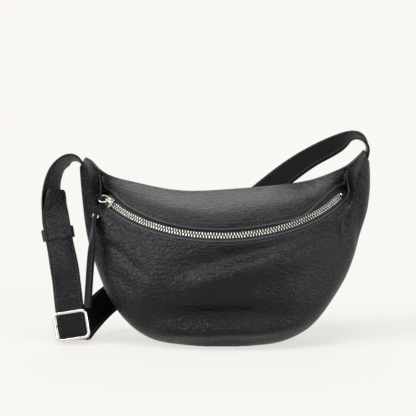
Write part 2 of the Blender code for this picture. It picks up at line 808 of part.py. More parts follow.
def build_buckle(metal):
    """The slide: a rectangular frame with lugs, and the bar held between them."""
    place, left, down, back = layer_frame(BAR_DROP_SHARE)
    ahead = STRAP_THICK / 2 + BUCKLE_FREE + BUCKLE_DEEP / 2
    centre = place - back * ahead
    turn = np.stack([left, back, down], axis=1)
    outer_size = (BUCKLE_WIDE, BUCKLE_DEEP, BUCKLE_HIGH)
    hole_size = (BUCKLE_WIDE - 2 * BUCKLE_WIRE, 2 * BUCKLE_DEEP, BUCKLE_HIGH - 2 * BUCKLE_WIRE)
    outer = placed(block((0.0, 0.0, 0.0), outer_size), turn, centre)
    hole = placed(block((0.0, 0.0, 0.0), hole_size), turn, centre)
    frame = mesh_object("buckle_frame", *outer, metal)
    cut(frame, mesh_object("buckle_frame_hole", *hole, metal))
    bar_back = 2 * (STRAP_THICK + FIT)
    lug_deep = ahead + bar_back + BAR_RADIUS * 2
    lug_size = (BUCKLE_WIRE - 2 * FIT, lug_deep, 4 * BAR_RADIUS)
    for side in (-1.0, 1.0):
        out = side * (BUCKLE_WIDE - BUCKLE_WIRE) / 2
        middle = centre + left * out + back * lug_deep / 2
        lug = placed(block((0.0, 0.0, 0.0), lug_size), turn, middle)
        frame = united(frame, mesh_object("buckle_lug", *lug, metal))
    middle = place + back * bar_back
    reach = left * (BUCKLE_WIDE / 2 - BUCKLE_WIRE)
    bar = rod_shape(middle - reach, middle + reach, BAR_RADIUS)
    mesh_object("buckle_bar", *bar, metal)
    return beveled(frame, 2 * FIT)


def slider_angle():
    """Angle of the closed slider on the zip's arc."""
    return tooth_angles(-0.25)[0] + SLIDER_PAST / ZIP_RADIUS


def build_slider(metal):
    """The slider: two plates, their flanges and the post between them."""
    turn, point = zip_frame(slider_angle())
    inside_high = TOOTH_HIGH / 2 + 2 * FIT
    inside_wide = TOOTH_ROOT + 2 * FIT
    plate_mid = inside_high + SLIDER_PLATE / 2
    size = (SLIDER_LONG, 2 * (inside_wide + SLIDER_FLANGE), SLIDER_PLATE)
    post_x = SLIDER_POST / 2 - SLIDER_LONG / 2 + FIT
    pieces = [block((0.0, 0.0, plate_mid), size), block((0.0, 0.0, -plate_mid), size)]
    post_high = 2 * inside_high + SLIDER_PLATE
    pieces.append(block((post_x, 0.0, 0.0), (SLIDER_POST, TAPE_EDGE, post_high)))
    flange_high = inside_high - TAPE / 2 - 2 * FIT + SLIDER_PLATE / 2
    for side in (-1.0, 1.0):
        for face in (-1.0, 1.0):
            y = side * (inside_wide + SLIDER_FLANGE / 2)
            z = face * (inside_high + SLIDER_PLATE / 2 - flange_high / 2)
            flange = block((0.0, y, z), (SLIDER_LONG - 2 * FIT, SLIDER_FLANGE, flange_high))
            pieces.append(flange)
    body = mesh_object("slider_body", *placed(pieces[0], turn, point), metal)
    for piece in pieces[1:]:
        body = united(body, mesh_object("slider_piece", *placed(piece, turn, point), metal))
    return beveled(body, FIT)


def sweep_shape(path, radius, sides=8, closed=False):
    """Points and faces of a round wire along a path."""
    path = np.asarray(path)
    if closed:
        tangent = unit(np.roll(path, -1, axis=0) - np.roll(path, 1, axis=0))
    else:
        tangent = unit(np.gradient(path, axis=0))
    flat = path - path.mean(axis=0)
    plane = unit(np.linalg.svd(flat)[2][2])
    first = unit(np.cross(tangent, plane))
    turns = np.arange(sides) * 2 * math.pi / sides
    ring = np.cos(turns)[None, :, None] * first[:, None] + np.sin(turns)[None, :, None] * plane
    vertices = (path[:, None] + ring * radius).reshape(-1, 3)
    faces = []
    rows = len(path)
    for i in range(rows if closed else rows - 1):
        for j in range(sides):
            a, b = i * sides + j, i * sides + (j + 1) % sides
            c, d = ((i + 1) % rows) * sides + j, ((i + 1) % rows) * sides + (j + 1) % sides
            faces.append((a, b, d, c))
    if not closed:
        faces.append(tuple(reversed(range(sides))))
        faces.append(tuple(range((rows - 1) * sides, rows * sides)))
    return vertices, faces


def bail_top():
    """Middle of the bail's wire at its crest, with the ways along it and off the zip."""
    turn, point = zip_frame(slider_angle())
    floor = TOOTH_HIGH / 2 + 2 * FIT + SLIDER_PLATE
    crest = point + turn[:, 2] * (floor + FIT + BAIL_HIGH)
    return crest, turn[:, 0], turn[:, 2], floor


def build_bail(metal):
    """The bail on the slider's top plate."""
    turn, point = zip_frame(slider_angle())
    crest, along, off, floor = bail_top()
    turns = np.linspace(0, math.pi, 11)
    reach = SLIDER_LONG / 2 - RING_WIRE
    low = point + off * (floor + FIT)
    path = [low + along * reach * math.cos(a) + off * BAIL_HIGH * math.sin(a) for a in turns]
    return mesh_object("slider_bail", *sweep_shape(path, BAIL_WIRE / 2), metal)


def ring_ways():
    """Centre of the ring, the way to the pull on it, the way along its wire there and its axis."""
    crest = bail_top()[0]
    turn, _ = zip_frame(slider_angle())
    facing = unit(turn @ np.array(RING_FACING_SHARES))
    hang = turn @ np.array(RING_HANG_SHARES)
    hang = unit(hang - facing * np.dot(hang, facing))
    centre = crest + turn @ np.array(RING_PLACE_SHARES) * RING_WIDE
    return centre, hang, np.cross(facing, hang), facing


def build_ring(metal):
    """The jump ring on the bail."""
    centre, hang, side, _ = ring_ways()
    middle = (RING_WIDE - RING_WIRE) / 2
    turns = np.arange(24) * 2 * math.pi / 24
    path = [centre + hang * middle * math.cos(a) + side * middle * math.sin(a) for a in turns]
    return mesh_object("pull_ring", *sweep_shape(path, RING_WIRE / 2, closed=True), metal)


def pull_line(count=29):
    """Middle line of the hanging pull with its width and face ways."""
    centre, hang, side, _ = ring_ways()
    low = centre + hang * (RING_WIDE - RING_WIRE) / 2
    route = low + np.array(PULL_ROUTE_SHARES) * PULL_LONG
    steps = np.linalg.norm(np.diff(route, axis=0), axis=1)
    run = np.concatenate([[0.0], np.cumsum(steps)])
    at = np.linspace(0, run[-1], count)
    line = spline(run, route, at)
    tangent = unit(np.gradient(line, axis=0))
    across = unit(side - tangent * (tangent @ side)[:, None])
    return line, at, tangent, across, np.cross(across, tangent)


def build_pull(leather, metal):
    """The leather pull folded round the ring, and its rivet."""
    line, run, tangent, across, face = pull_line()
    loop = RING_WIRE / 2 + 6 * FIT + PULL_THICK / 2
    layer = (PULL_THICK + FIT) / 2
    apart = (loop + (layer - loop) * smooth_step(run / PULL_PINCH))[:, None]
    front = (line + face * apart)[1:]
    rear = (line - face * apart)[1:][run[1:] < PULL_FOLD]
    turns = np.linspace(0, math.pi, 9)
    drop_way = tangent[0] * PULL_LOOSE_SHARE
    arc = [line[0] - loop * (face[0] * math.cos(a) + drop_way * math.sin(a)) for a in turns]
    path = np.concatenate([rear[::-1], arc, front])
    ways = np.concatenate([across[1 : len(rear) + 1][::-1], np.tile(across[0], (9, 1)), across[1:]])
    drop = np.concatenate([run[1 : len(rear) + 1][::-1], np.zeros(9), run[1:]])
    wide = PULL_NECK + (PULL_WIDE - PULL_NECK) * smooth_step(drop / PULL_PINCH - 0.3)
    pull = mesh_object("pull_leather", *ribbon_shape(path, ways, wide, PULL_THICK), leather)
    k = int(np.argmin(np.abs(run - PULL_PINCH * 1.4)))
    spot = line[k]
    reach = face[k] * (layer + PULL_THICK / 2 + FIT)
    head = face[k] * RIVET_HEAD
    broad, thin = RIVET_WIDE / 2, RIVET_WIDE / 4
    rivet = mesh_object("pull_rivet", *rod_shape(spot - reach - head, spot - reach, broad), metal)
    far = mesh_object("rivet_head", *rod_shape(spot + reach, spot + reach + head, broad), metal)
    ends = (spot - reach - head / 2, spot + reach + head / 2)
    shank = mesh_object("rivet_shank", *rod_shape(*ends, thin), metal)
    rivet = united(united(rivet, shank), far)
    through = rod_shape(spot - reach * 2, spot + reach * 2, thin + FIT)
    cut(pull, mesh_object("pull_leather_hole", *through, metal))
    return rivet


def build_straps(leather, metal):
    """Both straps, the keeper and the buckle."""
    build_strap_right(leather)
    build_strap_left(leather)
    build_keeper(leather)
    build_buckle(metal)


def lift_pivot():
    """Point under the bail's crest that the ring tips about."""
    crest, _, off, _ = bail_top()
    return crest - off * BAIL_HIGH * LIFT_DROP_SHARE


def joint_places():
    """For each moving piece, a point on the axis of the joint that carries it."""
    zip_centre = zip_axes(slider_angle())[4]
    ring_centre = ring_ways()[0]
    keeper_place = layer_frame(KEEPER_DROP_SHARE)[0]
    bar_place, _, _, bar_back = layer_frame(BAR_DROP_SHARE)
    bar_middle = bar_place + bar_back * 2 * (STRAP_THICK + FIT)
    return {
        "slider_body": zip_centre,
        "slider_bail": zip_centre,
        "pull_ring": lift_pivot(),
        "pull_leather": ring_centre,
        "pull_rivet": ring_centre,
        "strap_keeper": keeper_place,
        "buckle_frame": bar_middle,
        "buckle_bar": bar_middle,
    }


def set_origin(obj, point):
    """Puts an object's origin at a point, with its mesh left where it is."""
    count = len(obj.data.vertices)
    places = np.empty(count * 3)
    obj.data.vertices.foreach_get("co", places)
    obj.data.vertices.foreach_set("co", (places.reshape(count, 3) - point).ravel())
    obj.location = point


def main():
    """Builds every piece of the bag."""
    clear_scene()
    leather = material("leather_black", (0.035, 0.035, 0.037), 0.45)
    cloth = material("lining_black", (0.03, 0.03, 0.032), 0.9)
    tape = material("zip_tape_black", (0.03, 0.03, 0.032), 0.85)
    metal = material("metal_nickel", (0.72, 0.70, 0.66), 0.25, 1.0)
    build_panels(leather, cloth)
    build_zip(tape, metal)
    build_slider(metal)
    build_bail(metal)
    build_ring(metal)
    build_pull(leather, metal)
    build_straps(leather, metal)
    for name, place in joint_places().items():
        set_origin(bpy.data.objects[name], place)


main()
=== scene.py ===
"""Looks of a half-moon belt bag: grained leather panels, metal zip and slide-buckle strap."""

from __future__ import annotations

import logging
import math
from dataclasses import dataclass, field
from enum import Enum

import bpy
import numpy as np
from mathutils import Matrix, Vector


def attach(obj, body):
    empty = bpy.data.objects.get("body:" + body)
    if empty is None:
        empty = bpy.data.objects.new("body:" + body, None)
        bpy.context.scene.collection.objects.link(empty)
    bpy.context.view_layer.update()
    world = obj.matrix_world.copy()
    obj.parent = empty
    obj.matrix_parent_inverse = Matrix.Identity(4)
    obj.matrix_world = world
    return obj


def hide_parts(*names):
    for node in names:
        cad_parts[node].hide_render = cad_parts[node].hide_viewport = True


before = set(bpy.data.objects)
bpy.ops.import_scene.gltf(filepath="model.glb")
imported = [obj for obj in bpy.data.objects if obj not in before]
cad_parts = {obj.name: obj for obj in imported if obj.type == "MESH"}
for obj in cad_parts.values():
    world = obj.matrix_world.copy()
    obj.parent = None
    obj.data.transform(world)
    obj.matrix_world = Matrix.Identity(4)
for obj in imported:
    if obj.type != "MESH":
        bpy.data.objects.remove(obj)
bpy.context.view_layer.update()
LOG = logging.getLogger("belt_bag")
Array = np.ndarray
Shape = tuple[np.ndarray, np.ndarray]
Triple = tuple[float, float, float]
Colour = tuple[float, float, float, float]

# Sizes of the bag, in metres
HALF_WIDTH = 0.130
DEPTH = 0.084
TIP_HEIGHT = 0.160
BODY_SIZE = np.array([HALF_WIDTH, DEPTH, TIP_HEIGHT])
LEATHER = 0.0020
LINING = 0.0008
FIT = 0.0003
BACKWARD = np.array([0.0, 1.0, 0.0])

# Sizes of the zip
ZIP_RADIUS = 0.122
ZIP_SLOPE = math.radians(27.0)
ZIP_TILT = math.radians(1.5)
ZIP_CONE = math.radians(40.0)
ZIP_LOW_Y_SHARE = -0.333
ZIP_LOW_Z_SHARE = 0.619
ZIP_HALF_ANGLE = math.radians(60.9)
WINDOW_HALF = 0.0053
TAPE = 0.0006

# Sizes of the strap
STRAP_WIDE = 0.0250
STRAP_THICK = 0.0026
LAYER_STEPS = 120

# Ends of the zip's window and of its slits, as shares of the half crescent, and how far the
# slits keep the zip's way and the seam's
WINDOW_SHARE = 0.58
SLIT_LEFT_SHARE = 0.70
SLIT_RIGHT_SHARE = 0.69
SLIT_LEAVE_SHARE = 0.4
SLIT_ARRIVE_SHARE = 0.35

SLIT_HALF = 4 * FIT

# The window narrows between two shares of its length. Over these shares of the half crescent the
# leather comes down to the tape's level, and the slit's edge gives way to the top seam
NARROW_FROM = 0.93
NARROW_TO = 1.10
LIFT_FADE = 0.08
SEAM_BEFORE = 0.05
SEAM_OVER = 0.06

# Handles of the sections' cubics, as shares of their length or of the depth
UNDER_FLAT = 0.60
UNDER_STEEP = 0.55
BACK_HOLLOW = 0.06
BACK_START = 0.35
BACK_START_OUT = 0.02
TURN_REACH = 1.6
TURN_OUT = 0.13
TURN_LIP = 0.004
UPPER_START = 0.30
UPPER_SWELL = 0.05
UPPER_END = 0.36

# How evenly the rows of a grid lie along the crescent
EVEN_SHARE = 0.55

# Small shapes: rims, stitches, squared capsules, tube ends and the strap's section
RIM_ROUND = 0.35
STITCH_PITCH = 0.0032
STITCH_WIDE = 0.0006
STITCH_SIZE = (0.0024, STITCH_WIDE, STITCH_WIDE * 0.8)
CAPSULE_ROWS = 9
CAPSULE_COLUMNS = 12
CAPSULE_OPEN = 0.02
CAPSULE_POWER = 0.55
TUBE_END_LONG = 0.6
TUBE_END_SHARE = 0.4
RIBBON_SIDES = 32
RIBBON_EDGE = 0.75
RIBBON_FACE = 0.18
RIBBON_PILLOW = 0.12
RIBBON_END_LONG = 0.25
RIBBON_END_SHARE = 0.97

# Stations along the crescent. Each row has the station, the top seam and the outer silhouette as
# shares of half width, depth and tip height, then the fullness of the front, the roll at its upper
# edge, the height of the back seam and the turn over the top
STATIONS = np.array([
    (-1.0, -0.969, 0.31, 0.996, -1.001, 0.31, 0.957, 0.16, 0.15, 0.42, 0.04),
    (-0.85, -0.920, 0.36, 0.974, -0.992, 0.30, 0.826, 0.14, 0.20, 0.24, 0.05),
    (-0.7, -0.870, 0.39, 0.933, -0.962, 0.26, 0.626, 0.11, 0.26, 0.19, 0.05),
    (-0.55, -0.778, 0.42, 0.891, -0.892, 0.19, 0.394, 0.20, 0.33, 0.17, 0.04),
    (-0.4, -0.634, 0.42, 0.863, -0.739, 0.10, 0.165, 0.43, 0.40, 0.16, 0.02),
    (-0.2, -0.343, 0.40, 0.819, -0.464, 0.00, 0.010, 0.58, 0.43, 0.15, 0.01),
    (0.0, -0.025, 0.39, 0.822, -0.026, 0.00, -0.040, 0.62, 0.43, 0.15, 0.01),
    (0.2, 0.321, 0.40, 0.844, 0.398, 0.00, 0.010, 0.58, 0.43, 0.15, 0.01),
    (0.4, 0.597, 0.42, 0.877, 0.675, 0.10, 0.159, 0.43, 0.40, 0.16, 0.02),
    (0.55, 0.748, 0.42, 0.919, 0.828, 0.19, 0.354, 0.20, 0.33, 0.17, 0.04),
    (0.7, 0.837, 0.39, 0.955, 0.912, 0.26, 0.546, 0.13, 0.26, 0.19, 0.05),
    (0.85, 0.903, 0.36, 0.999, 0.972, 0.30, 0.758, 0.16, 0.20, 0.24, 0.05),
    (1.0, 0.952, 0.31, 1.036, 0.986, 0.31, 0.988, 0.16, 0.15, 0.42, 0.04),
])
STATION_SHARES = STATIONS[:, 0]
TOP_SEAM_SHARES = STATIONS[:, 1:4]
SILHOUETTE_SHARES = STATIONS[:, 4:7]
BULGE_SHARES, ROLL_SHARES, BACK_SEAM_SHARES, TURN_OVER_SHARES = STATIONS[:, 7:].T
BACK_Y_SHARE = 0.50

# Routes of the strap as shares of half width, depth and tip height, each with the way its
# left or upper edge points: the tip end in front, the long run behind, the short arch
TIP_ROUTE_SHARES = [
    (-1.154, 0.131, 0.838, -0.60, -0.80, 0.0),
    (-1.158, 0.107, 0.763, -0.68, -0.73, 0.0),
    (-1.155, 0.089, 0.688, -0.84, -0.53, -0.03),
    (-1.143, 0.071, 0.624, -0.84, -0.53, -0.03),
    (-1.115, 0.024, 0.510, -0.84, -0.53, -0.05),
    (-1.083, -0.048, 0.338, -0.98, -0.10, -0.13),
    (-1.064, -0.119, 0.210, -0.99, 0.0, -0.14),
    (-1.054, -0.143, 0.150, -0.99, 0.0, -0.14),
    (-1.045, -0.155, 0.100, -0.99, 0.0, -0.14),
    (-1.036, -0.150, 0.055, -0.99, 0.0, -0.14),
]
LONG_ROUTE_SHARES = [
    (-1.036, -0.150, 0.055, -0.99, 0.0, -0.14),
    (-1.031, -0.120, 0.028, -0.99, 0.0, -0.12),
    (-1.022, -0.050, 0.026, -0.98, 0.0, 0.0),
    (-1.000, 0.040, 0.052, -0.93, 0.0, 0.25),
    (-0.950, 0.210, 0.096, -0.78, 0.15, 0.58),
    (-0.885, 0.400, 0.142, -0.62, 0.20, 0.75),
    (-0.790, 0.525, 0.200, -0.58, 0.12, 0.80),
    (-0.600, 0.560, 0.295, -0.60, 0.0, 0.80),
    (-0.270, 0.570, 0.445, -0.60, 0.10, 0.80),
    (0.000, 0.590, 0.600, -0.55, 0.35, 0.74),
    (0.268, 0.630, 0.790, -0.44, 0.66, 0.60),
    (0.463, 0.630, 0.918, -0.40, 0.74, 0.54),
    (0.602, 0.600, 0.995, -0.34, 0.80, 0.48),
    (0.805, 0.492, 1.086, -0.20, 0.90, 0.36),
    (0.919, 0.393, 1.112, 0.0, 1.0, 0.10),
    (0.971, 0.340, 1.069, 0.0, 1.0, 0.0),
    (0.969, 0.335, 1.015, 0.0, 1.0, 0.0),
    (0.954, 0.345, 0.965, 0.0, 1.0, 0.0),
    (0.947, 0.345, 0.945, 0.0, 1.0, 0.0),
]
SHORT_ROUTE_SHARES = [
    (-0.957, 0.345, 0.934, 0.0, -1.0, 0.0),
    (-0.971, 0.340, 0.956, 0.0, -1.0, 0.0),
    (-0.995, 0.325, 0.981, 0.0, -1.0, 0.10),
    (-1.054, 0.292, 0.999, 0.0, -0.90, 0.43),
    (-1.127, 0.270, 0.972, -0.20, -0.88, 0.40),
    (-1.170, 0.245, 0.916, -0.40, -0.88, 0.26),
    (-1.190, 0.215, 0.838, -0.52, -0.85, 0.08),
    (-1.182, 0.178, 0.763, -0.70, -0.71, 0.0),
    (-1.166, 0.135, 0.690, -0.84, -0.53, 0.0),
]
BAR_DROP_SHARE = 0.935


def unit(vectors: Array) -> Array:
    """Vectors of length one.

    Args:
        vectors: vectors along the last axis.

    Returns:
        The same ways, each divided by its length.
    """
    return vectors / np.linalg.norm(vectors, axis=-1, keepdims=True)


def run_along(path: Array) -> Array:
    """Length of a line up to each of its points.

    Args:
        path: the line's points.

    Returns:
        A length for each point, from zero.
    """
    steps = np.linalg.norm(np.diff(path, axis=0), axis=1)
    return np.concatenate([[0.0], np.cumsum(steps)])


def square_to(ways: Array, tangent: Array) -> Array:
    """Ways less their part along a line.

    Args:
        ways: a way at each point of the line.
        tangent: the line's unit direction there.

    Returns:
        Unit ways square to the line.
    """
    return unit(ways - tangent * np.sum(ways * tangent, axis=1)[:, None])


def spline(stations: Array, values: Array, at: Array) -> Array:
    """Natural cubic curve: second derivatives that join the cubics smoothly, zero at both ends.

    Args:
        stations: rising places.
        values: a number or a row of numbers for each.
        at: places to read the curve at.

    Returns:
        The curve's values there.
    """
    stations = np.asarray(stations, float)
    values = np.asarray(values, float)
    flat = values.reshape(len(stations), -1)
    step = np.diff(stations)
    system = np.eye(len(stations))
    right = np.zeros_like(flat)
    for i in range(1, len(stations) - 1):
        system[i, i - 1] = step[i - 1]
        system[i, i] = 2 * (step[i - 1] + step[i])
        system[i, i + 1] = step[i]
        after = (flat[i + 1] - flat[i]) / step[i]
        before = (flat[i] - flat[i - 1]) / step[i - 1]
        right[i] = 6 * (after - before)
    bend = np.linalg.solve(system, right)
    at = np.asarray(at, float)
    k = np.clip(np.searchsorted(stations, at) - 1, 0, len(step) - 1)
    width = step[k][:, None]
    left = (stations[k + 1] - at)[:, None]
    gone = (at - stations[k])[:, None]
    curve = bend[k] * left**3 / (6 * width) + bend[k + 1] * gone**3 / (6 * width)
    curve += (flat[k] / width - bend[k] * width / 6) * left
    curve += (flat[k + 1] / width - bend[k + 1] * width / 6) * gone
    return curve.reshape((len(at),) + values.shape[1:])


def smooth_step(values: Array) -> Array:
    """Eased ramp: three times the square less twice the cube of a value held between 0 and 1.

    Args:
        values: places on the ramp.

    Returns:
        Zero below zero, one above one and an S between them.
    """
    values = np.clip(values, 0.0, 1.0)
    return values * values * (3 - 2 * values)


def bezier(p0: Array, p1: Array, p2: Array, p3: Array, t: Array) -> Array:
    """Cubic Bezier curves, one per row of points: the Bernstein sum of four points.

    Args:
        p0: first points.
        p1: points that the curves leave towards.
        p2: points that the curves arrive from.
        p3: last points.
        t: shares of the way.

    Returns:
        A grid with a row for each curve and a column for each share.
    """
    t = np.asarray(t)[None, :, None]
    a, b, c, d = (np.asarray(p)[:, None, :] for p in (p0, p1, p2, p3))
    s = 1 - t
    return a * s**3 + b * 3 * s * s * t + c * 3 * s * t * t + d * t**3


def zip_axes(angles: Array) -> tuple[Array, Array, Array, Array]:
    """Points of the zip's circle, which lies in a plane sloping to the front and tilted aside.

    A point is the centre plus the radius times the angle's sine to the side and cosine down. The
    tape lies on a cone: its way down and its way off are the plane's, turned by the cone's angle.

    Args:
        angles: angles from the lowest point, to the right.

    Returns:
        Points, ways along the zip, ways down the tape and ways off its face.
    """
    angles = np.atleast_1d(np.asarray(angles, float))
    cos, sin = math.cos(ZIP_TILT), math.sin(ZIP_TILT)
    turn = np.array([[cos, 0, -sin], [0, 1, 0], [sin, 0, cos]])
    normal = turn @ np.array([0.0, -math.sin(ZIP_SLOPE), math.cos(ZIP_SLOPE)])
    low = turn @ np.array([0.0, -math.cos(ZIP_SLOPE), -math.sin(ZIP_SLOPE)])
    side = turn @ np.array([1.0, 0.0, 0.0])
    bottom = np.array([0.0, ZIP_LOW_Y_SHARE * DEPTH, ZIP_LOW_Z_SHARE * TIP_HEIGHT])
    centre = bottom - ZIP_RADIUS * low
    radial = np.sin(angles)[:, None] * side + np.cos(angles)[:, None] * low
    along = np.cos(angles)[:, None] * side - np.sin(angles)[:, None] * low
    off = normal * math.cos(ZIP_CONE) + radial * math.sin(ZIP_CONE)
    down = -normal * math.sin(ZIP_CONE) + radial * math.cos(ZIP_CONE)
    return centre + ZIP_RADIUS * radial, along, down, off


def top_seam(u: Array) -> Array:
    """Top seam of the bag: a natural cubic curve through its stations.

    Args:
        u: stations along the crescent, from -1 at the left tip to 1 at the right tip.

    Returns:
        A point for each station.
    """
    return spline(STATION_SHARES, TOP_SEAM_SHARES, u) * BODY_SIZE


def silhouette(u: Array) -> Array:
    """Outer line of the bag as seen from the front: a natural cubic curve through its stations.

    Args:
        u: stations along the crescent.

    Returns:
        A point for each station.
    """
    return spline(STATION_SHARES, SILHOUETTE_SHARES, u) * BODY_SIZE


def slit_end(u: Array) -> Array:
    """Share of the half crescent at which the slit on this side reaches the top seam.

    Args:
        u: stations along the crescent.

    Returns:
        A share for each station.
    """
    return np.where(u < 0, SLIT_LEFT_SHARE, SLIT_RIGHT_SHARE)


def window_line(u: Array) -> tuple[Array, Array, Array]:
    """Middle of the zip's window: the zip's arc, then a cubic that leaves it for the top seam.

    Args:
        u: stations along the crescent.

    Returns:
        Points, the ways down from the window and the ways off it.
    """
    u = np.asarray(u, float)
    side = np.where(u < 0, -1.0, 1.0)
    inside = np.minimum(np.abs(u), WINDOW_SHARE)
    angle = side * ZIP_HALF_ANGLE * inside / WINDOW_SHARE
    point, along, down, off = zip_axes(angle)
    run = (np.abs(u) - WINDOW_SHARE) / (slit_end(u) - WINDOW_SHARE)
    run = np.clip(run, 0.0, 1.0)[:, None]
    end = top_seam(side * slit_end(u))
    reach = np.linalg.norm(end - point, axis=1)[:, None]
    leave = point + along * side[:, None] * reach * SLIT_LEAVE_SHARE
    arrive = end + (point - end) * SLIT_ARRIVE_SHARE
    s = 1 - run
    bent = point * s**3 + 3 * leave * s * s * run + 3 * arrive * s * run * run + end * run**3
    return np.where(run > 0, bent, point), down, off


def window_half(u: Array) -> Array:
    """Half width of the window, narrowing to the slit.

    Args:
        u: stations along the crescent.

    Returns:
        A length for each station.
    """
    start = WINDOW_SHARE * NARROW_FROM
    close = smooth_step((np.abs(u) - start) / (WINDOW_SHARE * NARROW_TO - start))
    return WINDOW_HALF + (SLIT_HALF - WINDOW_HALF) * close


def fall_away(u: Array) -> Array:
    """Way in which the front panel leaves its upper edge: down the tape, at the wings forward.

    Args:
        u: stations along the crescent.

    Returns:
        A unit way for each station.
    """
    _, down, _ = window_line(u)
    turn = smooth_step((np.abs(u) - WINDOW_SHARE) / (1 - WINDOW_SHARE))[:, None]
    return unit(down * (1 - turn) - BACKWARD * turn)


def edge_lift(u: Array) -> Array:
    """Height of the leather's face over the tape beside the window.

    Args:
        u: stations along the crescent.

    Returns:
        A length for each station, zero past the window.
    """
    lowered = smooth_step((np.abs(u) - WINDOW_SHARE) / LIFT_FADE)
    return (LEATHER + FIT + TAPE / 2) * (1 - lowered)


def front_edge(u: Array) -> Array:
    """Upper edge of the front panel: window and slits, then the top seam of the wings.

    Args:
        u: stations along the crescent.

    Returns:
        A point for each station.
    """
    middle, down, off = window_line(u)
    apart = window_half(u)[:, None]
    rail = middle + down * apart + off * edge_lift(u)[:, None]
    seam = top_seam(u) - BACKWARD * FIT
    share = smooth_step((np.abs(u) - slit_end(u) + SEAM_BEFORE) / SEAM_OVER)[:, None]
    return rail * (1 - share) + seam * share


def front_section(u: Array, t: Array) -> Array:
    """Front panel: cubics that roll over the upper edge, bulge forward and end at the silhouette.

    Args:
        u: stations along the crescent.
        t: shares of the way down.

    Returns:
        A grid of points.
    """
    edge = front_edge(u)
    outer = silhouette(u)
    roll = spline(STATION_SHARES, ROLL_SHARES, u)[:, None] * DEPTH
    bulge = spline(STATION_SHARES, BULGE_SHARES, u)[:, None] * DEPTH
    return bezier(edge, edge + fall_away(u) * roll, outer - BACKWARD * bulge, outer, t)


def back_seam(u: Array) -> Array:
    """Seam low on the back: a share of the way from the silhouette up to the top seam.

    Args:
        u: stations along the crescent.

    Returns:
        A point for each station.
    """
    outer = silhouette(u)
    share = spline(STATION_SHARES, BACK_SEAM_SHARES, u)[:, None]
    seam = outer + (top_seam(u) - outer) * share
    seam[:, 1] = BACK_Y_SHARE * DEPTH - BACK_HOLLOW * DEPTH * (1 - u * u)
    return seam


def under_section(u: Array, t: Array) -> Array:
    """Underside: cubics from the silhouette straight back, then up to the back seam.

    Args:
        u: stations along the crescent.
        t: shares of the way back.

    Returns:
        A grid of points.
    """
    outer = silhouette(u)
    seam = back_seam(u)
    depth = (seam - outer)[:, 1:2]
    rise = seam - outer
    rise[:, 1] = 0.0
    behind = outer + BACKWARD * depth * UNDER_FLAT
    return bezier(outer, behind, seam - rise * UNDER_STEEP, seam, t)


def back_section(u: Array, t: Array) -> Array:
    """Back panel: cubics up from the back seam that turn over forward to the top seam.

    Args:
        u: stations along the crescent.
        t: shares of the way up.

    Returns:
        A grid of points.
    """
    seam = back_seam(u)
    top = top_seam(u)
    rise = top - seam
    rise[:, 1] = 0.0
    length = np.linalg.norm(rise, axis=1)[:, None]
    up = rise / length
    turned = spline(STATION_SHARES, TURN_OVER_SHARES, u)[:, None] * DEPTH
    behind = BACKWARD * DEPTH
    low = seam + up * length * BACK_START + behind * BACK_START_OUT
    high = top + up * turned * TURN_REACH + behind * TURN_OUT
    return bezier(seam, low, high, top + behind * TURN_LIP, t)


def upper_section(u: Array, t: Array) -> Array:
    """Upper panel: cubics from the top seam that come down flat to the window's tape.

    Args:
        u: stations along the crescent.
        t: shares of the way down.

    Returns:
        A grid of points.
    """
    middle, down, off = window_line(u)
    apart = window_half(u)[:, None]
    rail = middle - down * apart + off * edge_lift(u)[:, None]
    top = top_seam(u) - BACKWARD * FIT
    fall = rail - top
    length = np.linalg.norm(fall, axis=1)[:, None]
    start = top + fall * UPPER_START + off * length * UPPER_SWELL
    end = rail - down * length * UPPER_END
    return bezier(top, start, end, rail, t)


def on_floor(points: Array, height: float = 0.0) -> Array:
    """Points with none below the given height.

    Args:
        points: the points.
        height: the lowest height allowed.

    Returns:
        A copy whose low points are lifted to it.
    """
    points = points.copy()
    points[..., 2] = np.maximum(points[..., 2], height)
    return points


def spread(low: float, high: float, count: int) -> Array:
    """Places between two ends, closer together towards them: a line mixed with a sine.

    Args:
        low: the first place.
        high: the last place.
        count: number of places.

    Returns:
        The places.
    """
    plain = np.linspace(-1.0, 1.0, count)
    eased = EVEN_SHARE * plain + (1 - EVEN_SHARE) * np.sin(plain * math.pi / 2)
    return low + (high - low) * (eased + 1) / 2


def seam_inward(u: Array) -> Array:
    """Way into the bag at the top seam.

    Args:
        u: stations along the crescent.

    Returns:
        A unit way for each station, towards the silhouette.
    """
    return unit(silhouette(u) - top_seam(u))


class Side(Enum):
    """The two sides of the zip."""

    UPPER = -1.0
    LOWER = 1.0


@dataclass(frozen=True)
class LeatherFinish:
    """How a leather looks: its colour, sheen and the size of its grain."""

    name: str
    colour: Triple
    roughness: float
    grain_scale: float
    grain_depth: float
    crease_depth: float
    sheen: float


@dataclass(frozen=True)
class MetalFinish:
    """How a metal looks."""

    name: str
    colour: Triple
    roughness: float


@dataclass(frozen=True)
class ClothFinish:
    """How a woven tape or lining looks."""

    name: str
    colour: Triple
    roughness: float
    thread_scale: float


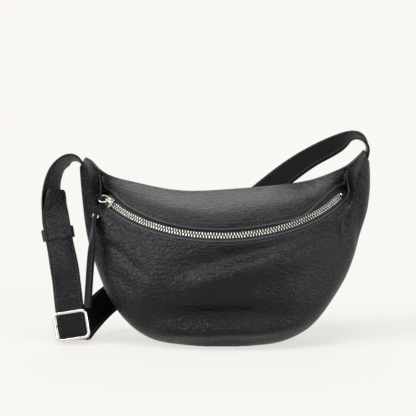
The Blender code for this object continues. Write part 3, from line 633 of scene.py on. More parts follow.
BODY_LEATHER = LeatherFinish(
    "body_leather", (0.0040, 0.0042, 0.0050), 0.26, 600.0, 0.00030, 0.00150, 0.25
)
EDGE_LEATHER = LeatherFinish(
    "edge_leather", (0.040, 0.040, 0.043), 0.34, 1100.0, 0.00008, 0.00008, 0.42
)
STRAP_LEATHER = LeatherFinish(
    "strap_leather", (0.0060, 0.0061, 0.0070), 0.30, 700.0, 0.00020, 0.00110, 0.24
)
# Inner face of the straps: matte, with its colour darkened as painted shade for the long strap's
# stretch seen behind the bag
STRAP_INNER_PAINTED_SHADE = LeatherFinish(
    "strap_inner_painted_shade", (0.0034, 0.0034, 0.0040), 0.46, 900.0, 0.00010, 0.00040, 0.05
)
NICKEL = MetalFinish("nickel", (0.78, 0.75, 0.70), 0.22)
TAPE_CLOTH = ClothFinish("zip_tape", (0.010, 0.010, 0.011), 0.85, 2200.0)
LINING_CLOTH = ClothFinish("lining_cloth", (0.016, 0.016, 0.018), 0.9, 1600.0)
THREAD = ClothFinish("thread", (0.035, 0.035, 0.038), 0.6, 4000.0)

# Grain: how far and how finely the pebbles wander, how soft their edges are, the distances over
# which a pebble falls, and the slant, stretch, scale, detail and distortion of the creases
WANDER = (0.0010, 0.0010, 0.0010)
WANDER_SCALE = 260.0
PEBBLE_SOFT = 0.35
PEBBLE_TOP = 0.05
PEBBLE_FOOT = 0.75
CREASE_SLANT = (0.0, math.radians(35.0), 0.0)
CREASE_STRETCH = (0.45, 1.0, 1.0)
CREASE_SCALE = 330.0
CREASE_DETAIL = 5.0
CREASE_DISTORTION = 0.6
HOLLOW_TONE = 0.55
HOLLOW_ROUGHER = 0.12
LEATHER_TINT = (0.90, 0.93, 1.0, 1.0)
WEAR_SCALE = 300.0
THREAD_DEPTH = 0.0001
THREAD_RANDOM = 0.2

# Sockets of a colour mix node
MIX_SHARE = 0
MIX_FIRST = 6
MIX_SECOND = 7
MIX_RESULT = 2


def new_material(name: str) -> tuple[bpy.types.Material, bpy.types.NodeTree, bpy.types.Node]:
    """Makes an empty Principled material.

    Args:
        name: the material's name.

    Returns:
        The material, its node tree and its Principled node.
    """
    made = bpy.data.materials.new(name)
    made.use_nodes = True
    tree = made.node_tree
    return made, tree, tree.nodes["Principled BSDF"]


def feed(node: bpy.types.Node, given: dict[str | int, object]) -> bpy.types.Node:
    """Sets a node's inputs, each to a value or to the socket that feeds it.

    Args:
        node: the node.
        given: values and sockets by the input's name or number.

    Returns:
        The same node.
    """
    for place, value in given.items():
        if isinstance(value, bpy.types.NodeSocket):
            node.id_data.links.new(value, node.inputs[place])
        else:
            node.inputs[place].default_value = value
    return node


def add_node(tree: bpy.types.NodeTree, kind: str, given: dict[str | int, object],
             **settings: object) -> bpy.types.Node:
    """Adds a shader node.

    Args:
        tree: the tree it goes into.
        kind: its type, without the word that every shader node's type starts with.
        given: values and sockets for its inputs.
        **settings: its own settings.

    Returns:
        The node.
    """
    node = tree.nodes.new("ShaderNode" + kind)
    for name, value in settings.items():
        setattr(node, name, value)
    return feed(node, given)


def grain_group() -> bpy.types.NodeTree:
    """Makes the shared node group of the pebble grain.

    The pebbles are rounded Voronoi cells of a slightly wandering position; slanted noise adds the
    creases.

    Returns:
        A group that turns a position, a scale and two depths into a normal, with a mask of the
        hollows between the pebbles.
    """
    group = bpy.data.node_groups.new("pebble_grain", "ShaderNodeTree")
    for name, way, kind in (
        ("Position", "INPUT", "Vector"),
        ("Scale", "INPUT", "Float"),
        ("Grain depth", "INPUT", "Float"),
        ("Crease depth", "INPUT", "Float"),
        ("Normal", "OUTPUT", "Vector"),
        ("Hollow", "OUTPUT", "Float"),
    ):
        group.interface.new_socket(name, in_out=way, socket_type="NodeSocket" + kind)
    given = group.nodes.new("NodeGroupInput").outputs
    wobble = add_node(group, "TexNoise", {"Vector": given["Position"], "Scale": WANDER_SCALE})
    moved = {0: wobble.outputs["Color"], 1: WANDER, 2: given["Position"]}
    shifted = add_node(group, "VectorMath", moved, operation="MULTIPLY_ADD")
    cells = add_node(group, "TexVoronoi", {
        "Vector": shifted.outputs[0],
        "Scale": given["Scale"],
        "Smoothness": PEBBLE_SOFT,
    }, feature="SMOOTH_F1")
    dome = add_node(group, "MapRange", {
        "Value": cells.outputs["Distance"],
        "From Min": PEBBLE_TOP,
        "From Max": PEBBLE_FOOT,
        "To Min": 1.0,
        "To Max": 0.0,
    })
    slant = add_node(group, "Mapping", {
        "Vector": given["Position"],
        "Rotation": CREASE_SLANT,
        "Scale": CREASE_STRETCH,
    })
    creases = add_node(group, "TexNoise", {
        "Vector": slant.outputs["Vector"],
        "Scale": CREASE_SCALE,
        "Detail": CREASE_DETAIL,
        "Distortion": CREASE_DISTORTION,
    })
    fine = add_node(group, "Bump", {
        "Height": dome.outputs["Result"],
        "Distance": given["Grain depth"],
    })
    coarse = add_node(group, "Bump", {
        "Height": creases.outputs["Fac"],
        "Distance": given["Crease depth"],
        "Normal": fine.outputs["Normal"],
    })
    hollow = add_node(group, "Math", {0: 1.0, 1: dome.outputs["Result"]}, operation="SUBTRACT")
    results = {"Normal": coarse.outputs["Normal"], "Hollow": hollow.outputs[0]}
    feed(group.nodes.new("NodeGroupOutput"), results)
    return group


def leather_material(finish: LeatherFinish, grain: bpy.types.NodeTree) -> bpy.types.Material:
    """Makes a leather with pebble grain, darker and duller in its hollows.

    Args:
        finish: how the leather looks.
        grain: the shared grain group.

    Returns:
        The material.
    """
    made, tree, shader = new_material(finish.name)
    place = add_node(tree, "TexCoord", {})
    group = add_node(tree, "Group", {
        "Position": place.outputs["Object"],
        "Scale": finish.grain_scale,
        "Grain depth": finish.grain_depth,
        "Crease depth": finish.crease_depth,
    }, node_tree=grain)
    tone = add_node(tree, "Mix", {
        MIX_SHARE: group.outputs["Hollow"],
        MIX_FIRST: (*finish.colour, 1.0),
        MIX_SECOND: (*(c * HOLLOW_TONE for c in finish.colour), 1.0),
    }, data_type="RGBA")
    rough = add_node(tree, "MapRange", {
        "Value": group.outputs["Hollow"],
        "To Min": finish.roughness,
        "To Max": finish.roughness + HOLLOW_ROUGHER,
    })
    feed(shader, {
        "Base Color": tone.outputs[MIX_RESULT],
        "Roughness": rough.outputs["Result"],
        "Normal": group.outputs["Normal"],
        "Specular IOR Level": finish.sheen,
        "Specular Tint": LEATHER_TINT,
    })
    return made


def metal_material(finish: MetalFinish) -> bpy.types.Material:
    """Makes a polished metal with faint wear.

    Args:
        finish: how the metal looks.

    Returns:
        The material.
    """
    made, tree, shader = new_material(finish.name)
    place = add_node(tree, "TexCoord", {})
    wear = add_node(tree, "TexNoise", {"Vector": place.outputs["Object"], "Scale": WEAR_SCALE})
    rough = add_node(tree, "MapRange", {
        "Value": wear.outputs["Fac"],
        "To Min": finish.roughness * 0.75,
        "To Max": finish.roughness * 1.3,
    })
    feed(shader, {
        "Base Color": (*finish.colour, 1.0),
        "Metallic": 1.0,
        "Roughness": rough.outputs["Result"],
    })
    return made


def cloth_material(finish: ClothFinish) -> bpy.types.Material:
    """Makes a woven cloth with a square weave.

    Args:
        finish: how the cloth looks.

    Returns:
        The material.
    """
    made, tree, shader = new_material(finish.name)
    place = add_node(tree, "TexCoord", {})
    weave = add_node(tree, "TexVoronoi", {
        "Vector": place.outputs["Object"],
        "Scale": finish.thread_scale,
        "Randomness": THREAD_RANDOM,
    }, distance="CHEBYCHEV")
    bump = add_node(tree, "Bump", {
        "Height": weave.outputs["Distance"],
        "Distance": THREAD_DEPTH,
    })
    feed(shader, {
        "Base Color": (*finish.colour, 1.0),
        "Roughness": finish.roughness,
        "Normal": bump.outputs["Normal"],
    })
    return made


@dataclass
class Palette:
    """Every finish of the bag, made once."""

    body: bpy.types.Material = field(init=False)
    edge: bpy.types.Material = field(init=False)
    strap: bpy.types.Material = field(init=False)
    strap_inner_painted_shade: bpy.types.Material = field(init=False)
    metal: bpy.types.Material = field(init=False)
    tape: bpy.types.Material = field(init=False)
    lining: bpy.types.Material = field(init=False)
    thread: bpy.types.Material = field(init=False)

    def __post_init__(self) -> None:
        """Makes the materials."""
        grain = grain_group()
        self.body = leather_material(BODY_LEATHER, grain)
        self.edge = leather_material(EDGE_LEATHER, grain)
        self.strap = leather_material(STRAP_LEATHER, grain)
        self.strap_inner_painted_shade = leather_material(STRAP_INNER_PAINTED_SHADE, grain)
        self.metal = metal_material(NICKEL)
        self.tape = cloth_material(TAPE_CLOTH)
        self.lining = cloth_material(LINING_CLOTH)
        self.thread = cloth_material(THREAD)


def add_mesh(name: str, vertices: Array, faces: Array,
             finish: bpy.types.Material) -> bpy.types.Object:
    """Adds a smooth mesh piece to the scene.

    Args:
        name: the piece's name.
        vertices: points, one row each.
        faces: corner numbers, one row per four-cornered face.
        finish: its material.

    Returns:
        The new object.
    """
    mesh = bpy.data.meshes.new(name)
    mesh.from_pydata(np.asarray(vertices, float).tolist(), [], np.asarray(faces).tolist())
    mesh.validate()
    mesh.polygons.foreach_set("use_smooth", np.ones(len(mesh.polygons), bool))
    mesh.materials.append(finish)
    made = bpy.data.objects.new(name, mesh)
    bpy.context.scene.collection.objects.link(made)
    LOG.info("piece %s: %d faces", name, len(mesh.polygons))
    return made


def ring_quads(rows: int, columns: int, close_rows: bool = False,
               close_columns: bool = True) -> Array:
    """Faces between rings of points.

    Args:
        rows: number of rings.
        columns: points in each ring.
        close_rows: whether the last ring joins the first.
        close_columns: whether each ring closes.

    Returns:
        Corner numbers, one row per face.
    """
    i = np.arange(rows if close_rows else rows - 1)[:, None]
    j = np.arange(columns if close_columns else columns - 1)[None, :]
    a = i * columns + j
    b = i * columns + (j + 1) % columns
    c = ((i + 1) % rows) * columns + (j + 1) % columns
    d = ((i + 1) % rows) * columns + j
    return np.stack([a, b, c, d], axis=-1).reshape(-1, 4)


def end_caps(rows: int, columns: int) -> Array:
    """Faces across the first and the last of several rings, each from one half to the other.

    Args:
        rows: number of rings.
        columns: points in each ring, an even number.

    Returns:
        Corner numbers, one row per face.
    """
    k = np.arange(columns // 2 - 1)
    cap = np.stack([k, k + 1, columns - 2 - k, columns - 1 - k], axis=-1)
    return np.concatenate([cap[:, ::-1], cap + (rows - 1) * columns])


def grid_normals(grid: Array) -> Array:
    """Unit normals of a grid: across the rows' way crossed with the columns' way.

    Args:
        grid: points in rows and columns.

    Returns:
        Unit normals, one for each point.
    """
    return unit(np.cross(np.gradient(grid, axis=0), np.gradient(grid, axis=1)))


def sheet_shape(outer: Array, inner: Array) -> Shape:
    """Closed sheet between two grids with rounded rims.

    The rim gets a middle ring, pushed out by a third of the thickness, so that it shades round.

    Args:
        outer: the face's grid.
        inner: the back's grid.

    Returns:
        Points and faces.
    """
    rows, columns = outer.shape[:2]
    count = rows * columns
    rim = np.concatenate([
        np.arange(rows) * columns,
        (rows - 1) * columns + np.arange(1, columns),
        np.arange(rows - 2, -1, -1) * columns + columns - 1,
        np.arange(columns - 2, 0, -1),
    ])
    middle = (outer + inner) / 2
    out = np.zeros_like(middle)
    out[0] += middle[0] - middle[1]
    out[-1] += middle[-1] - middle[-2]
    out[:, 0] += middle[:, 0] - middle[:, 1]
    out[:, -1] += middle[:, -1] - middle[:, -2]
    thick = np.linalg.norm(outer - inner, axis=-1).reshape(-1)[rim]
    way = unit(out.reshape(-1, 3)[rim])
    ring = middle.reshape(-1, 3)[rim] + way * thick[:, None] * RIM_ROUND
    vertices = np.concatenate([outer.reshape(-1, 3), inner.reshape(-1, 3), ring])
    front = ring_quads(rows, columns, close_columns=False)
    back = front[:, ::-1] + count
    following = np.roll(rim, -1)
    number = 2 * count + np.arange(len(rim))
    after = np.roll(number, -1)
    upper = np.stack([rim, following, after, number], axis=-1)
    lower = np.stack([number, after, following + count, rim + count], axis=-1)
    return vertices, np.concatenate([front, back, upper, lower])


def facing_out(vertices: Array, faces: Array) -> Array:
    """Turns all faces round when the closed shape is inside out.

    Args:
        vertices: points.
        faces: corner numbers.

    Returns:
        Faces of a shape whose volume is positive.
    """
    a, b, c, d = (vertices[faces[:, k]] for k in range(4))
    volume = np.einsum("ij,ij->", a, np.cross(b, c)) + np.einsum("ij,ij->", a, np.cross(c, d))
    return faces if volume > 0 else faces[:, ::-1]


def merged(parts: list[Shape]) -> Shape:
    """Several shapes as one.

    Args:
        parts: points and faces of each.

    Returns:
        Points and faces of all of them.
    """
    starts = np.cumsum([0] + [len(vertices) for vertices, _ in parts])
    vertices = np.concatenate([vertices for vertices, _ in parts])
    faces = np.concatenate([faces + start for (_, faces), start in zip(parts, starts)])
    return vertices, faces


def squared_round(turn: Array, across: float, up: float) -> tuple[Array, Array]:
    """Superellipse: the cosine and the sine of a turn, their sizes raised to powers below one.

    Args:
        turn: angles round the middle.
        across: power of the cosine.
        up: power of the sine.

    Returns:
        Both coordinates of the points, between -1 and 1.
    """
    cos, sin = np.cos(turn), np.sin(turn)
    return np.sign(cos) * np.abs(cos) ** across, np.sign(sin) * np.abs(sin) ** up


def capsule_row(centres: Array, along: Array, off: Array, size: tuple[float, ...]) -> Shape:
    """Points and faces of many small rounded bodies, such as stitches or teeth.

    Each is a sphere grid with its coordinates raised to a power below one, which squares it, then
    stretched along the three given ways.

    Args:
        centres: middle of each body.
        along: long way of each.
        off: upward way of each.
        size: sizes along, across and upward.

    Returns:
        Points and faces of all of them.
    """
    rows, columns = CAPSULE_ROWS, CAPSULE_COLUMNS
    polar = np.linspace(CAPSULE_OPEN, math.pi - CAPSULE_OPEN, rows)[:, None]
    turn = (np.arange(columns) * 2 * math.pi / columns)[None, :]
    ball = np.stack([
        np.cos(polar) + 0 * turn,
        np.sin(polar) * np.cos(turn),
        np.sin(polar) * np.sin(turn),
    ], axis=-1)
    ball = np.sign(ball) * np.abs(ball) ** CAPSULE_POWER
    ball = ball.reshape(-1, 3) * np.array(size) / 2
    along = unit(along)
    off = square_to(off, along)
    ways = np.stack([along, np.cross(off, along), off], axis=1)
    points = centres[:, None] + np.einsum("vk,nkc->nvc", ball, ways)
    quads = np.concatenate([ring_quads(rows, columns), end_caps(rows, columns)])
    quads = facing_out(points[0], quads)
    first = np.arange(len(centres)) * rows * columns
    return points.reshape(-1, 3), (quads[None] + first[:, None, None]).reshape(-1, 4)


def stitch_row(name: str, path: Array, off: Array, finish: bpy.types.Material) -> bpy.types.Object:
    """Adds a row of stitches at an even pitch along a line.

    Args:
        name: the piece's name.
        path: the line's points.
        off: the way off the leather at each point.
        finish: thread material.

    Returns:
        The new object.
    """
    run = run_along(path)
    margin = STITCH_PITCH / 2
    count = max(2, int((run[-1] - 2 * margin) / STITCH_PITCH))
    at = np.linspace(margin, run[-1] - margin, count)
    points, ways = (
        np.stack([np.interp(at, run, line[:, k]) for k in range(3)], axis=1)
        for line in (path, off)
    )
    along = unit(np.gradient(points, axis=0))
    return add_mesh(name, *capsule_row(points, along, unit(ways), STITCH_SIZE), finish)


def tube_shape(path: Array, radius: float, sides: int, closed: bool = False) -> Shape:
    """A round tube along a line: circles square to the line, turned by the line's own plane.

    Args:
        path: the line's points.
        radius: the tube's radius.
        sides: points round the tube.
        closed: whether the line is a loop.

    Returns:
        Points and faces.
    """
    if closed:
        tangent = unit(np.roll(path, -1, axis=0) - np.roll(path, 1, axis=0))
    else:
        tangent = unit(np.gradient(path, axis=0))
    plane = np.linalg.svd(path - path.mean(axis=0))[2][2]
    first = unit(np.cross(tangent, plane))
    second = np.cross(tangent, first)
    turn = (np.arange(sides) * 2 * math.pi / sides)[None, :, None]
    ring = np.cos(turn) * first[:, None] + np.sin(turn) * second[:, None]
    size = np.full(len(path), radius)
    if not closed:
        before = path[:1] - tangent[:1] * radius * TUBE_END_LONG
        after = path[-1:] + tangent[-1:] * radius * TUBE_END_LONG
        path = np.concatenate([before, path, after])
        ring = np.concatenate([ring[:1], ring, ring[-1:]])
        size = np.concatenate([[radius * TUBE_END_SHARE], size, [radius * TUBE_END_SHARE]])
    vertices = (path[:, None] + ring * size[:, None, None]).reshape(-1, 3)
    faces = ring_quads(len(path), sides, close_rows=closed)
    if not closed:
        faces = np.concatenate([faces, end_caps(len(path), sides)])
    return vertices, facing_out(vertices, faces)


def ribbon_shape(path: Array, across: Array, wide: Array, thick: float) -> Shape:
    """A strap: a flat section with rounded edges swept along a line.

    The section is a superellipse whose faces swell a little in the middle.

    Args:
        path: the line's points.
        across: the way its width lies at each point.
        wide: its width at each point.
        thick: its thickness.

    Returns:
        Points and faces.
    """
    tangent = unit(np.gradient(path, axis=0))
    across = square_to(across, tangent)
    normal = np.cross(across, tangent)
    turn = np.arange(RIBBON_SIDES) * 2 * math.pi / RIBBON_SIDES + math.pi / RIBBON_SIDES
    x, y = squared_round(turn, RIBBON_EDGE, RIBBON_FACE)
    y = y * (1 - RIBBON_PILLOW * x * x)
    points = path[:, None] + across[:, None] * (x[None, :] * (wide / 2)[:, None])[..., None]
    points = points + normal[:, None] * (y * thick / 2)[None, :, None]
    ends = [points[:1].mean(axis=1, keepdims=True), points[-1:].mean(axis=1, keepdims=True)]
    reach = thick * RIBBON_END_LONG
    first = ends[0] + (points[:1] - ends[0]) * RIBBON_END_SHARE - tangent[:1, None] * reach
    last = ends[1] + (points[-1:] - ends[1]) * RIBBON_END_SHARE + tangent[-1:, None] * reach
    points = np.concatenate([first, points, last])
    vertices = points.reshape(-1, 3)
    quads = ring_quads(len(points), RIBBON_SIDES)
    faces = np.concatenate([quads, end_caps(len(points), RIBBON_SIDES)])
    return vertices, facing_out(vertices, faces)


@dataclass(frozen=True)
class Fold:
    """A soft fold in the leather, drawn on the bag as seen from the front."""

    start: tuple[float, float]
    end: tuple[float, float]
    width: float
    height: float


# Folds of the front: ends as shares of half width and tip height, breadth and height in metres
FRONT_FOLDS = [
    Fold((-0.25, 0.45), (0.50, 0.60), 0.0075, -0.0046),
    Fold((-0.33, 0.335), (0.72, 0.590), 0.0110, 0.0070),
    Fold((-0.52, 0.185), (0.36, 0.205), 0.0090, -0.0058),
    Fold((-0.46, 0.095), (0.50, 0.13), 0.0075, 0.0060),
    Fold((0.20, 0.40), (0.62, 0.50), 0.0070, 0.0016),
    Fold((-0.72, 0.50), (-0.52, 0.40), 0.0040, -0.0014),
    Fold((-0.80, 0.55), (-0.64, 0.48), 0.0036, -0.0010),
    Fold((-0.78, 0.40), (-0.58, 0.30), 0.0050, -0.0014),
    Fold((-0.84, 0.60), (-0.72, 0.56), 0.0060, 0.0020),
    Fold((0.81, 0.72), (0.79, 0.48), 0.0045, -0.0018),
    Fold((0.87, 0.74), (0.85, 0.48), 0.0050, 0.0014),
    Fold((0.97, 0.95), (0.95, 0.60), 0.0060, 0.0016),
    Fold((-0.92, 0.92), (-0.90, 0.66), 0.0050, -0.0014),
    Fold((0.56, 0.28), (0.80, 0.46), 0.0100, -0.0018),
    Fold((-0.62, 0.22), (-0.44, 0.42), 0.0110, 0.0016),
]
UPPER_FOLDS = [
    Fold((0.20, 0.95), (0.42, 0.80), 0.0034, -0.0010),
    Fold((0.30, 0.95), (0.50, 0.84), 0.0034, -0.0009),
    Fold((0.10, 0.90), (0.30, 0.78), 0.0036, -0.0008),
    Fold((-0.45, 0.86), (-0.10, 0.76), 0.0060, -0.0010),
    Fold((-0.62, 0.98), (-0.46, 0.84), 0.0036, -0.0008),
    Fold((0.52, 0.96), (0.60, 0.82), 0.0036, -0.0009),
]


def fold_height(points: Array, folds: list[Fold]) -> Array:
    """Height of the folds over the plain leather.

    Each fold is a bell curve of the distance to its line, eased out past both ends.

    Args:
        points: places on the leather.
        folds: the folds.

    Returns:
        A height for each point.
    """
    flat = points[..., [0, 2]]
    total = np.zeros(points.shape[:-1])
    size = np.array([HALF_WIDTH, TIP_HEIGHT])
    for fold in folds:
        start = np.array(fold.start) * size
        line = np.array(fold.end) * size - start
        length = np.linalg.norm(line)
        share = ((flat - start) @ line) / length**2
        near = start + np.clip(share, 0, 1)[..., None] * line
        apart = np.linalg.norm(flat - near, axis=-1)
        ease = smooth_step(1.15 - np.abs(share - 0.5) * 1.6)
        total += fold.height * np.exp(-((apart / fold.width) ** 2)) * ease
    return total


def sway(points: Array, scale: float, height: float) -> Array:
    """Slow unevenness of soft leather: a sum of sine waves in three directions.

    Args:
        points: places on the leather.
        scale: length of the waves.
        height: how far they rise.

    Returns:
        A height for each point.
    """
    x, y, z = (points[..., k] / scale for k in range(3))
    waves = np.sin(1.7 * x + 2.3 * z + 0.6) * np.cos(2.9 * y - 1.1 * x)
    waves = waves + 0.6 * np.sin(3.1 * z - 2.2 * x + 1.9) + 0.4 * np.sin(5.3 * x + 1.4 * y)
    return waves * height / 2


def edge_fade(grid: Array, distance: float) -> Array:
    """Zero at a grid's rims and one inside.

    Args:
        grid: points in rows and columns.
        distance: length over which it rises.

    Returns:
        A share for each point.
    """
    down = np.linalg.norm(np.diff(grid, axis=1), axis=-1)
    run = np.concatenate([np.zeros((len(grid), 1)), np.cumsum(down, axis=1)], axis=1)
    low = smooth_step(run / distance)
    high = smooth_step((run[:, -1:] - run) / distance)
    return low * high


def evened(grid: Array, share: Array, rounds: int) -> Array:
    """A grid whose neighbouring rows are drawn towards their mean, round by round.

    Args:
        grid: points in rows and columns.
        share: how much of the mean each point takes.
        rounds: number of rounds.

    Returns:
        A grid of the same shape.
    """
    grid = grid.copy()
    for _ in range(rounds):
        mean = (grid[:-2] + 2 * grid[1:-1] + grid[2:]) / 4
        grid[1:-1] += share[1:-1] * (mean - grid[1:-1])
    return grid


# How far the upper panel's rim stands back from the even window, in millimetres over the stations
RIM_STATION_SHARES = [
    -0.66, -0.58, -0.50, -0.40, -0.30, 0.0, 0.20, 0.27,
    0.31, 0.35, 0.40, 0.45, 0.50, 0.55, 0.60, 0.65,
]
RIM_SHIFTS = [
    1.5, 3.6, 2.2, 1.2, 0.4, 0.0, -0.6, -1.8,
    -2.4, -1.4, 1.4, 3.2, 3.8, 3.2, 1.6, 0.6,
]
MILLIMETRE = 0.001


def rim_shift(u: Array) -> Array:
    """How far the upper panel's rim stands back: a natural cubic curve through the shifts.

    Args:
        u: stations along the crescent.

    Returns:
        A length for each station, below zero where the rim sags over the zip.
    """
    return spline(RIM_STATION_SHARES, np.array(RIM_SHIFTS)[:, None], u)[:, 0] * MILLIMETRE


def drawn_back(grid: Array, shift: Array) -> Array:
    """A grid whose last column is drawn back along its rows.

    Each row is sampled again, evenly, over its length less the shift; past its end it goes
    straight on.

    Args:
        grid: points in rows and columns.
        shift: length to take off each row.

    Returns:
        A grid of the same shape.
    """
    count = grid.shape[1]
    length = np.linalg.norm(np.diff(grid, axis=1), axis=-1).sum(axis=1)
    at = np.arange(count) * (1 - shift / length)[:, None]
    low = np.clip(at.astype(int), 0, count - 2)
    share = (at - low)[..., None]
    rows = np.arange(len(grid))[:, None]
    return grid[rows, low] * (1 - share) + grid[rows, low + 1] * share


@dataclass
class BagBody:
    """The three leather panels with their linings, pocket, piping and stitches.

    Rows of a grid run along the crescent and columns down or round each section. The leather is
    pared thin at the tips. Each wing is round across: its middles are given at heights, with its
    half breadth, its back and its depth, and the roundness rises from its lowest height. A sway is
    the length and the height of the leather's slow unevenness; the fades keep the rims even.
    """

    palette: Palette
    lining_loose: float = 0.0020
    pared_share: float = 0.65
    pared_under: int = 14
    pared_back: int = 30
    front_rows: int = 260
    front_columns: int = 90
    under_columns: int = 24
    back_rows: int = 200
    back_columns: int = 60
    upper_rows: int = 200
    upper_columns: int = 40
    even_rounds: int = 90
    even_columns: int = 12
    wing_columns: int = 9
    wing_heights: tuple[float, ...] = (0.070, 0.090, 0.115, 0.150)
    wing_left: tuple[float, ...] = (0.106, 0.1115, 0.1165, 0.1190)
    wing_right: tuple[float, ...] = (0.101, 0.1070, 0.1135, 0.1160)
    wing_half: float = 0.0125
    wing_back: float = 0.026
    wing_deep: float = 0.0135
    wing_low: float = 0.076
    wing_rise: float = 0.030
    wing_from: float = 0.42
    wing_over: float = 0.10
    wing_fade: float = 0.010
    rim_fade: float = 0.012
    upper_fade: float = 0.008
    relief_behind: float = 0.034
    relief_over: float = 0.010
    front_sway: tuple[float, float] = (0.030, 0.0009)
    back_sway: tuple[float, float] = (0.034, 0.0009)
    upper_sway: tuple[float, float] = (0.026, 0.0007)
    upper_margin: float = 0.035
    seam_apart: float = 0.0032
    piping: float = 0.0009

    def build(self) -> None:
        """Builds every leather and cloth piece of the body."""
        self.build_front()
        self.build_back()
        self.build_upper()
        self.build_linings()
        self.build_seams()

    def sheet(self, name: str, grid: Array, thickness: Array | float, finish: bpy.types.Material,
              node: str, inward: Array, floor: float = 0.0) -> bpy.types.Object:
        """Adds a sheet under a grid and lets it stand for its CAD node.

        Args:
            name: the piece's name.
            grid: face points in rows and columns.
            thickness: thickness of the sheet.
            finish: its material.
            node: the CAD node it stands for.
            inward: unit way into the sheet at each point.
            floor: height that no point goes below.

        Returns:
            The new object.
        """
        outer = on_floor(grid, floor)
        inner = on_floor(grid + inward * thickness, floor + float(np.max(thickness)))
        vertices, faces = sheet_shape(outer, inner)
        made = add_mesh(name, vertices, facing_out(vertices, faces), finish)
        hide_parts(node)
        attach(made, "bag")
        return made

    def front_relief(self, grid: Array) -> Array:
        """Height of the folds and the unevenness over the plain front.

        Args:
            grid: face points in rows and columns.

        Returns:
            A height for each point.
        """
        ahead = smooth_step((self.relief_behind - grid[..., 1]) / self.relief_over)
        height = fold_height(grid, FRONT_FOLDS) * ahead
        return (height + sway(grid, *self.front_sway)) * edge_fade(grid, self.rim_fade)

    def wing_shift(self, grid: Array) -> Array:
        """How far the wings are moved to the front or back to be round.

        Across each wing the leather follows back - deep * sqrt(1 - (distance / half)^2), the
        distance being taken from the wing's middle at that height.

        Args:
            grid: face points in rows and columns.

        Returns:
            A length for each point.
        """
        reach, high = np.abs(grid[..., 0]), grid[..., 2]
        left = np.interp(high, self.wing_heights, self.wing_left)
        right = np.interp(high, self.wing_heights, self.wing_right)
        apart = (reach - np.where(grid[..., 0] < 0, left, right)) / self.wing_half
        aim = self.wing_back - self.wing_deep * np.sqrt(np.clip(1 - apart**2, 0, 1))
        share = smooth_step((high - self.wing_low) / self.wing_rise)
        share = share * smooth_step((apart + 1.0) / 0.5)
        share = share * edge_fade(grid, self.wing_fade)
        share = share * self.above_silhouette(grid, self.wing_columns)
        shift = aim - grid[..., 1]
        shift = np.minimum(shift, 0) + np.maximum(shift, 0) * smooth_step(apart * 2)
        return shift * share

    def above_silhouette(self, grid: Array, columns: int) -> Array:
        """Share that eases from one to zero over the last columns of the front.

        Args:
            grid: points of the front and of the underside behind it.
            columns: how many columns it takes.

        Returns:
            A share for each column, zero from the silhouette on.
        """
        return smooth_step((self.front_columns - 1 - np.arange(grid.shape[1])) / columns)

    def build_front(self) -> None:
        """Builds the front panel with its wings and folds."""
        u = spread(-1.0, 1.0, self.front_rows)
        front = front_section(u, np.linspace(0, 1, self.front_columns))
        under = under_section(u, np.linspace(0, 1, self.under_columns))
        grid = np.concatenate([front, under[:, 1:]], axis=1)
        grid[..., 1] += self.wing_shift(grid)
        outer = smooth_step((np.abs(u) - self.wing_from) / self.wing_over)[:, None]
        ease = edge_fade(grid, self.rim_fade) * outer
        ease = ease * self.above_silhouette(grid, self.even_columns)
        grid = evened(grid, ease[..., None], self.even_rounds)
        inward = grid_normals(grid)
        wing = np.abs(u) >= slit_end(u) - 0.04
        inward[:, 0] = np.where(wing[:, None], seam_inward(u), -window_line(u)[2])
        inward[:, -1] = -BACKWARD
        inward = unit(inward)
        grid = grid - inward * self.front_relief(grid)[..., None]
        pared = 1 - self.pared_share * np.abs(u)[:, None, None] ** 8
        thickness = np.full(grid.shape[:2] + (1,), LEATHER)
        thickness = thickness * (1 - self.pared_share / 2 * np.abs(u)[:, None, None] ** 20)
        thickness[:, -self.pared_under:] *= pared
        self.sheet("front_leather", grid, thickness, self.palette.body, "front_panel", inward)

    def build_back(self) -> None:
        """Builds the back panel, turned over the top."""
        u = spread(-1.0, 1.0, self.back_rows)
        grid = back_section(u, np.linspace(0, 1, self.back_columns))
        inward = grid_normals(grid)
        inward[:, 0] = -BACKWARD
        inward[:, -1] = seam_inward(u)
        grid[:, 0] += unit(grid[:, 1] - grid[:, 0]) * FIT
        height = sway(grid, *self.back_sway) * edge_fade(grid, self.rim_fade)
        grid = grid - inward * height[..., None]
        pared = 1 - self.pared_share * np.abs(u)[:, None, None] ** 8
        thickness = np.full(grid.shape[:2] + (1,), LEATHER)
        thickness[:, :self.pared_back] *= pared
        self.sheet("back_leather", grid, thickness, self.palette.body, "back_panel", inward)

    def build_upper(self) -> None:
        """Builds the upper panel between the top seam and the zip."""
        margin = self.upper_margin
        u = spread(-SLIT_LEFT_SHARE + margin, SLIT_RIGHT_SHARE - margin, self.upper_rows)
        grid = drawn_back(upper_section(u, np.linspace(0, 1, self.upper_columns)), rim_shift(u))
        inward = grid_normals(grid)
        inward[:, 0] = seam_inward(u)
        inward[:, -1] = -window_line(u)[2]
        height = fold_height(grid, UPPER_FOLDS) + sway(grid, *self.upper_sway)
        grid = grid - inward * (height * edge_fade(grid, self.upper_fade))[..., None]
        self.sheet("upper_leather", grid, LEATHER, self.palette.body, "upper_panel", inward)
        self.trim("upper_piping", grid[:, -1] + inward[:, -2] * LEATHER * 0.3)
        self.seam("upper_stitches", (grid - inward * 0.0001)[6:-6, -4], -inward[6:-6, -4])

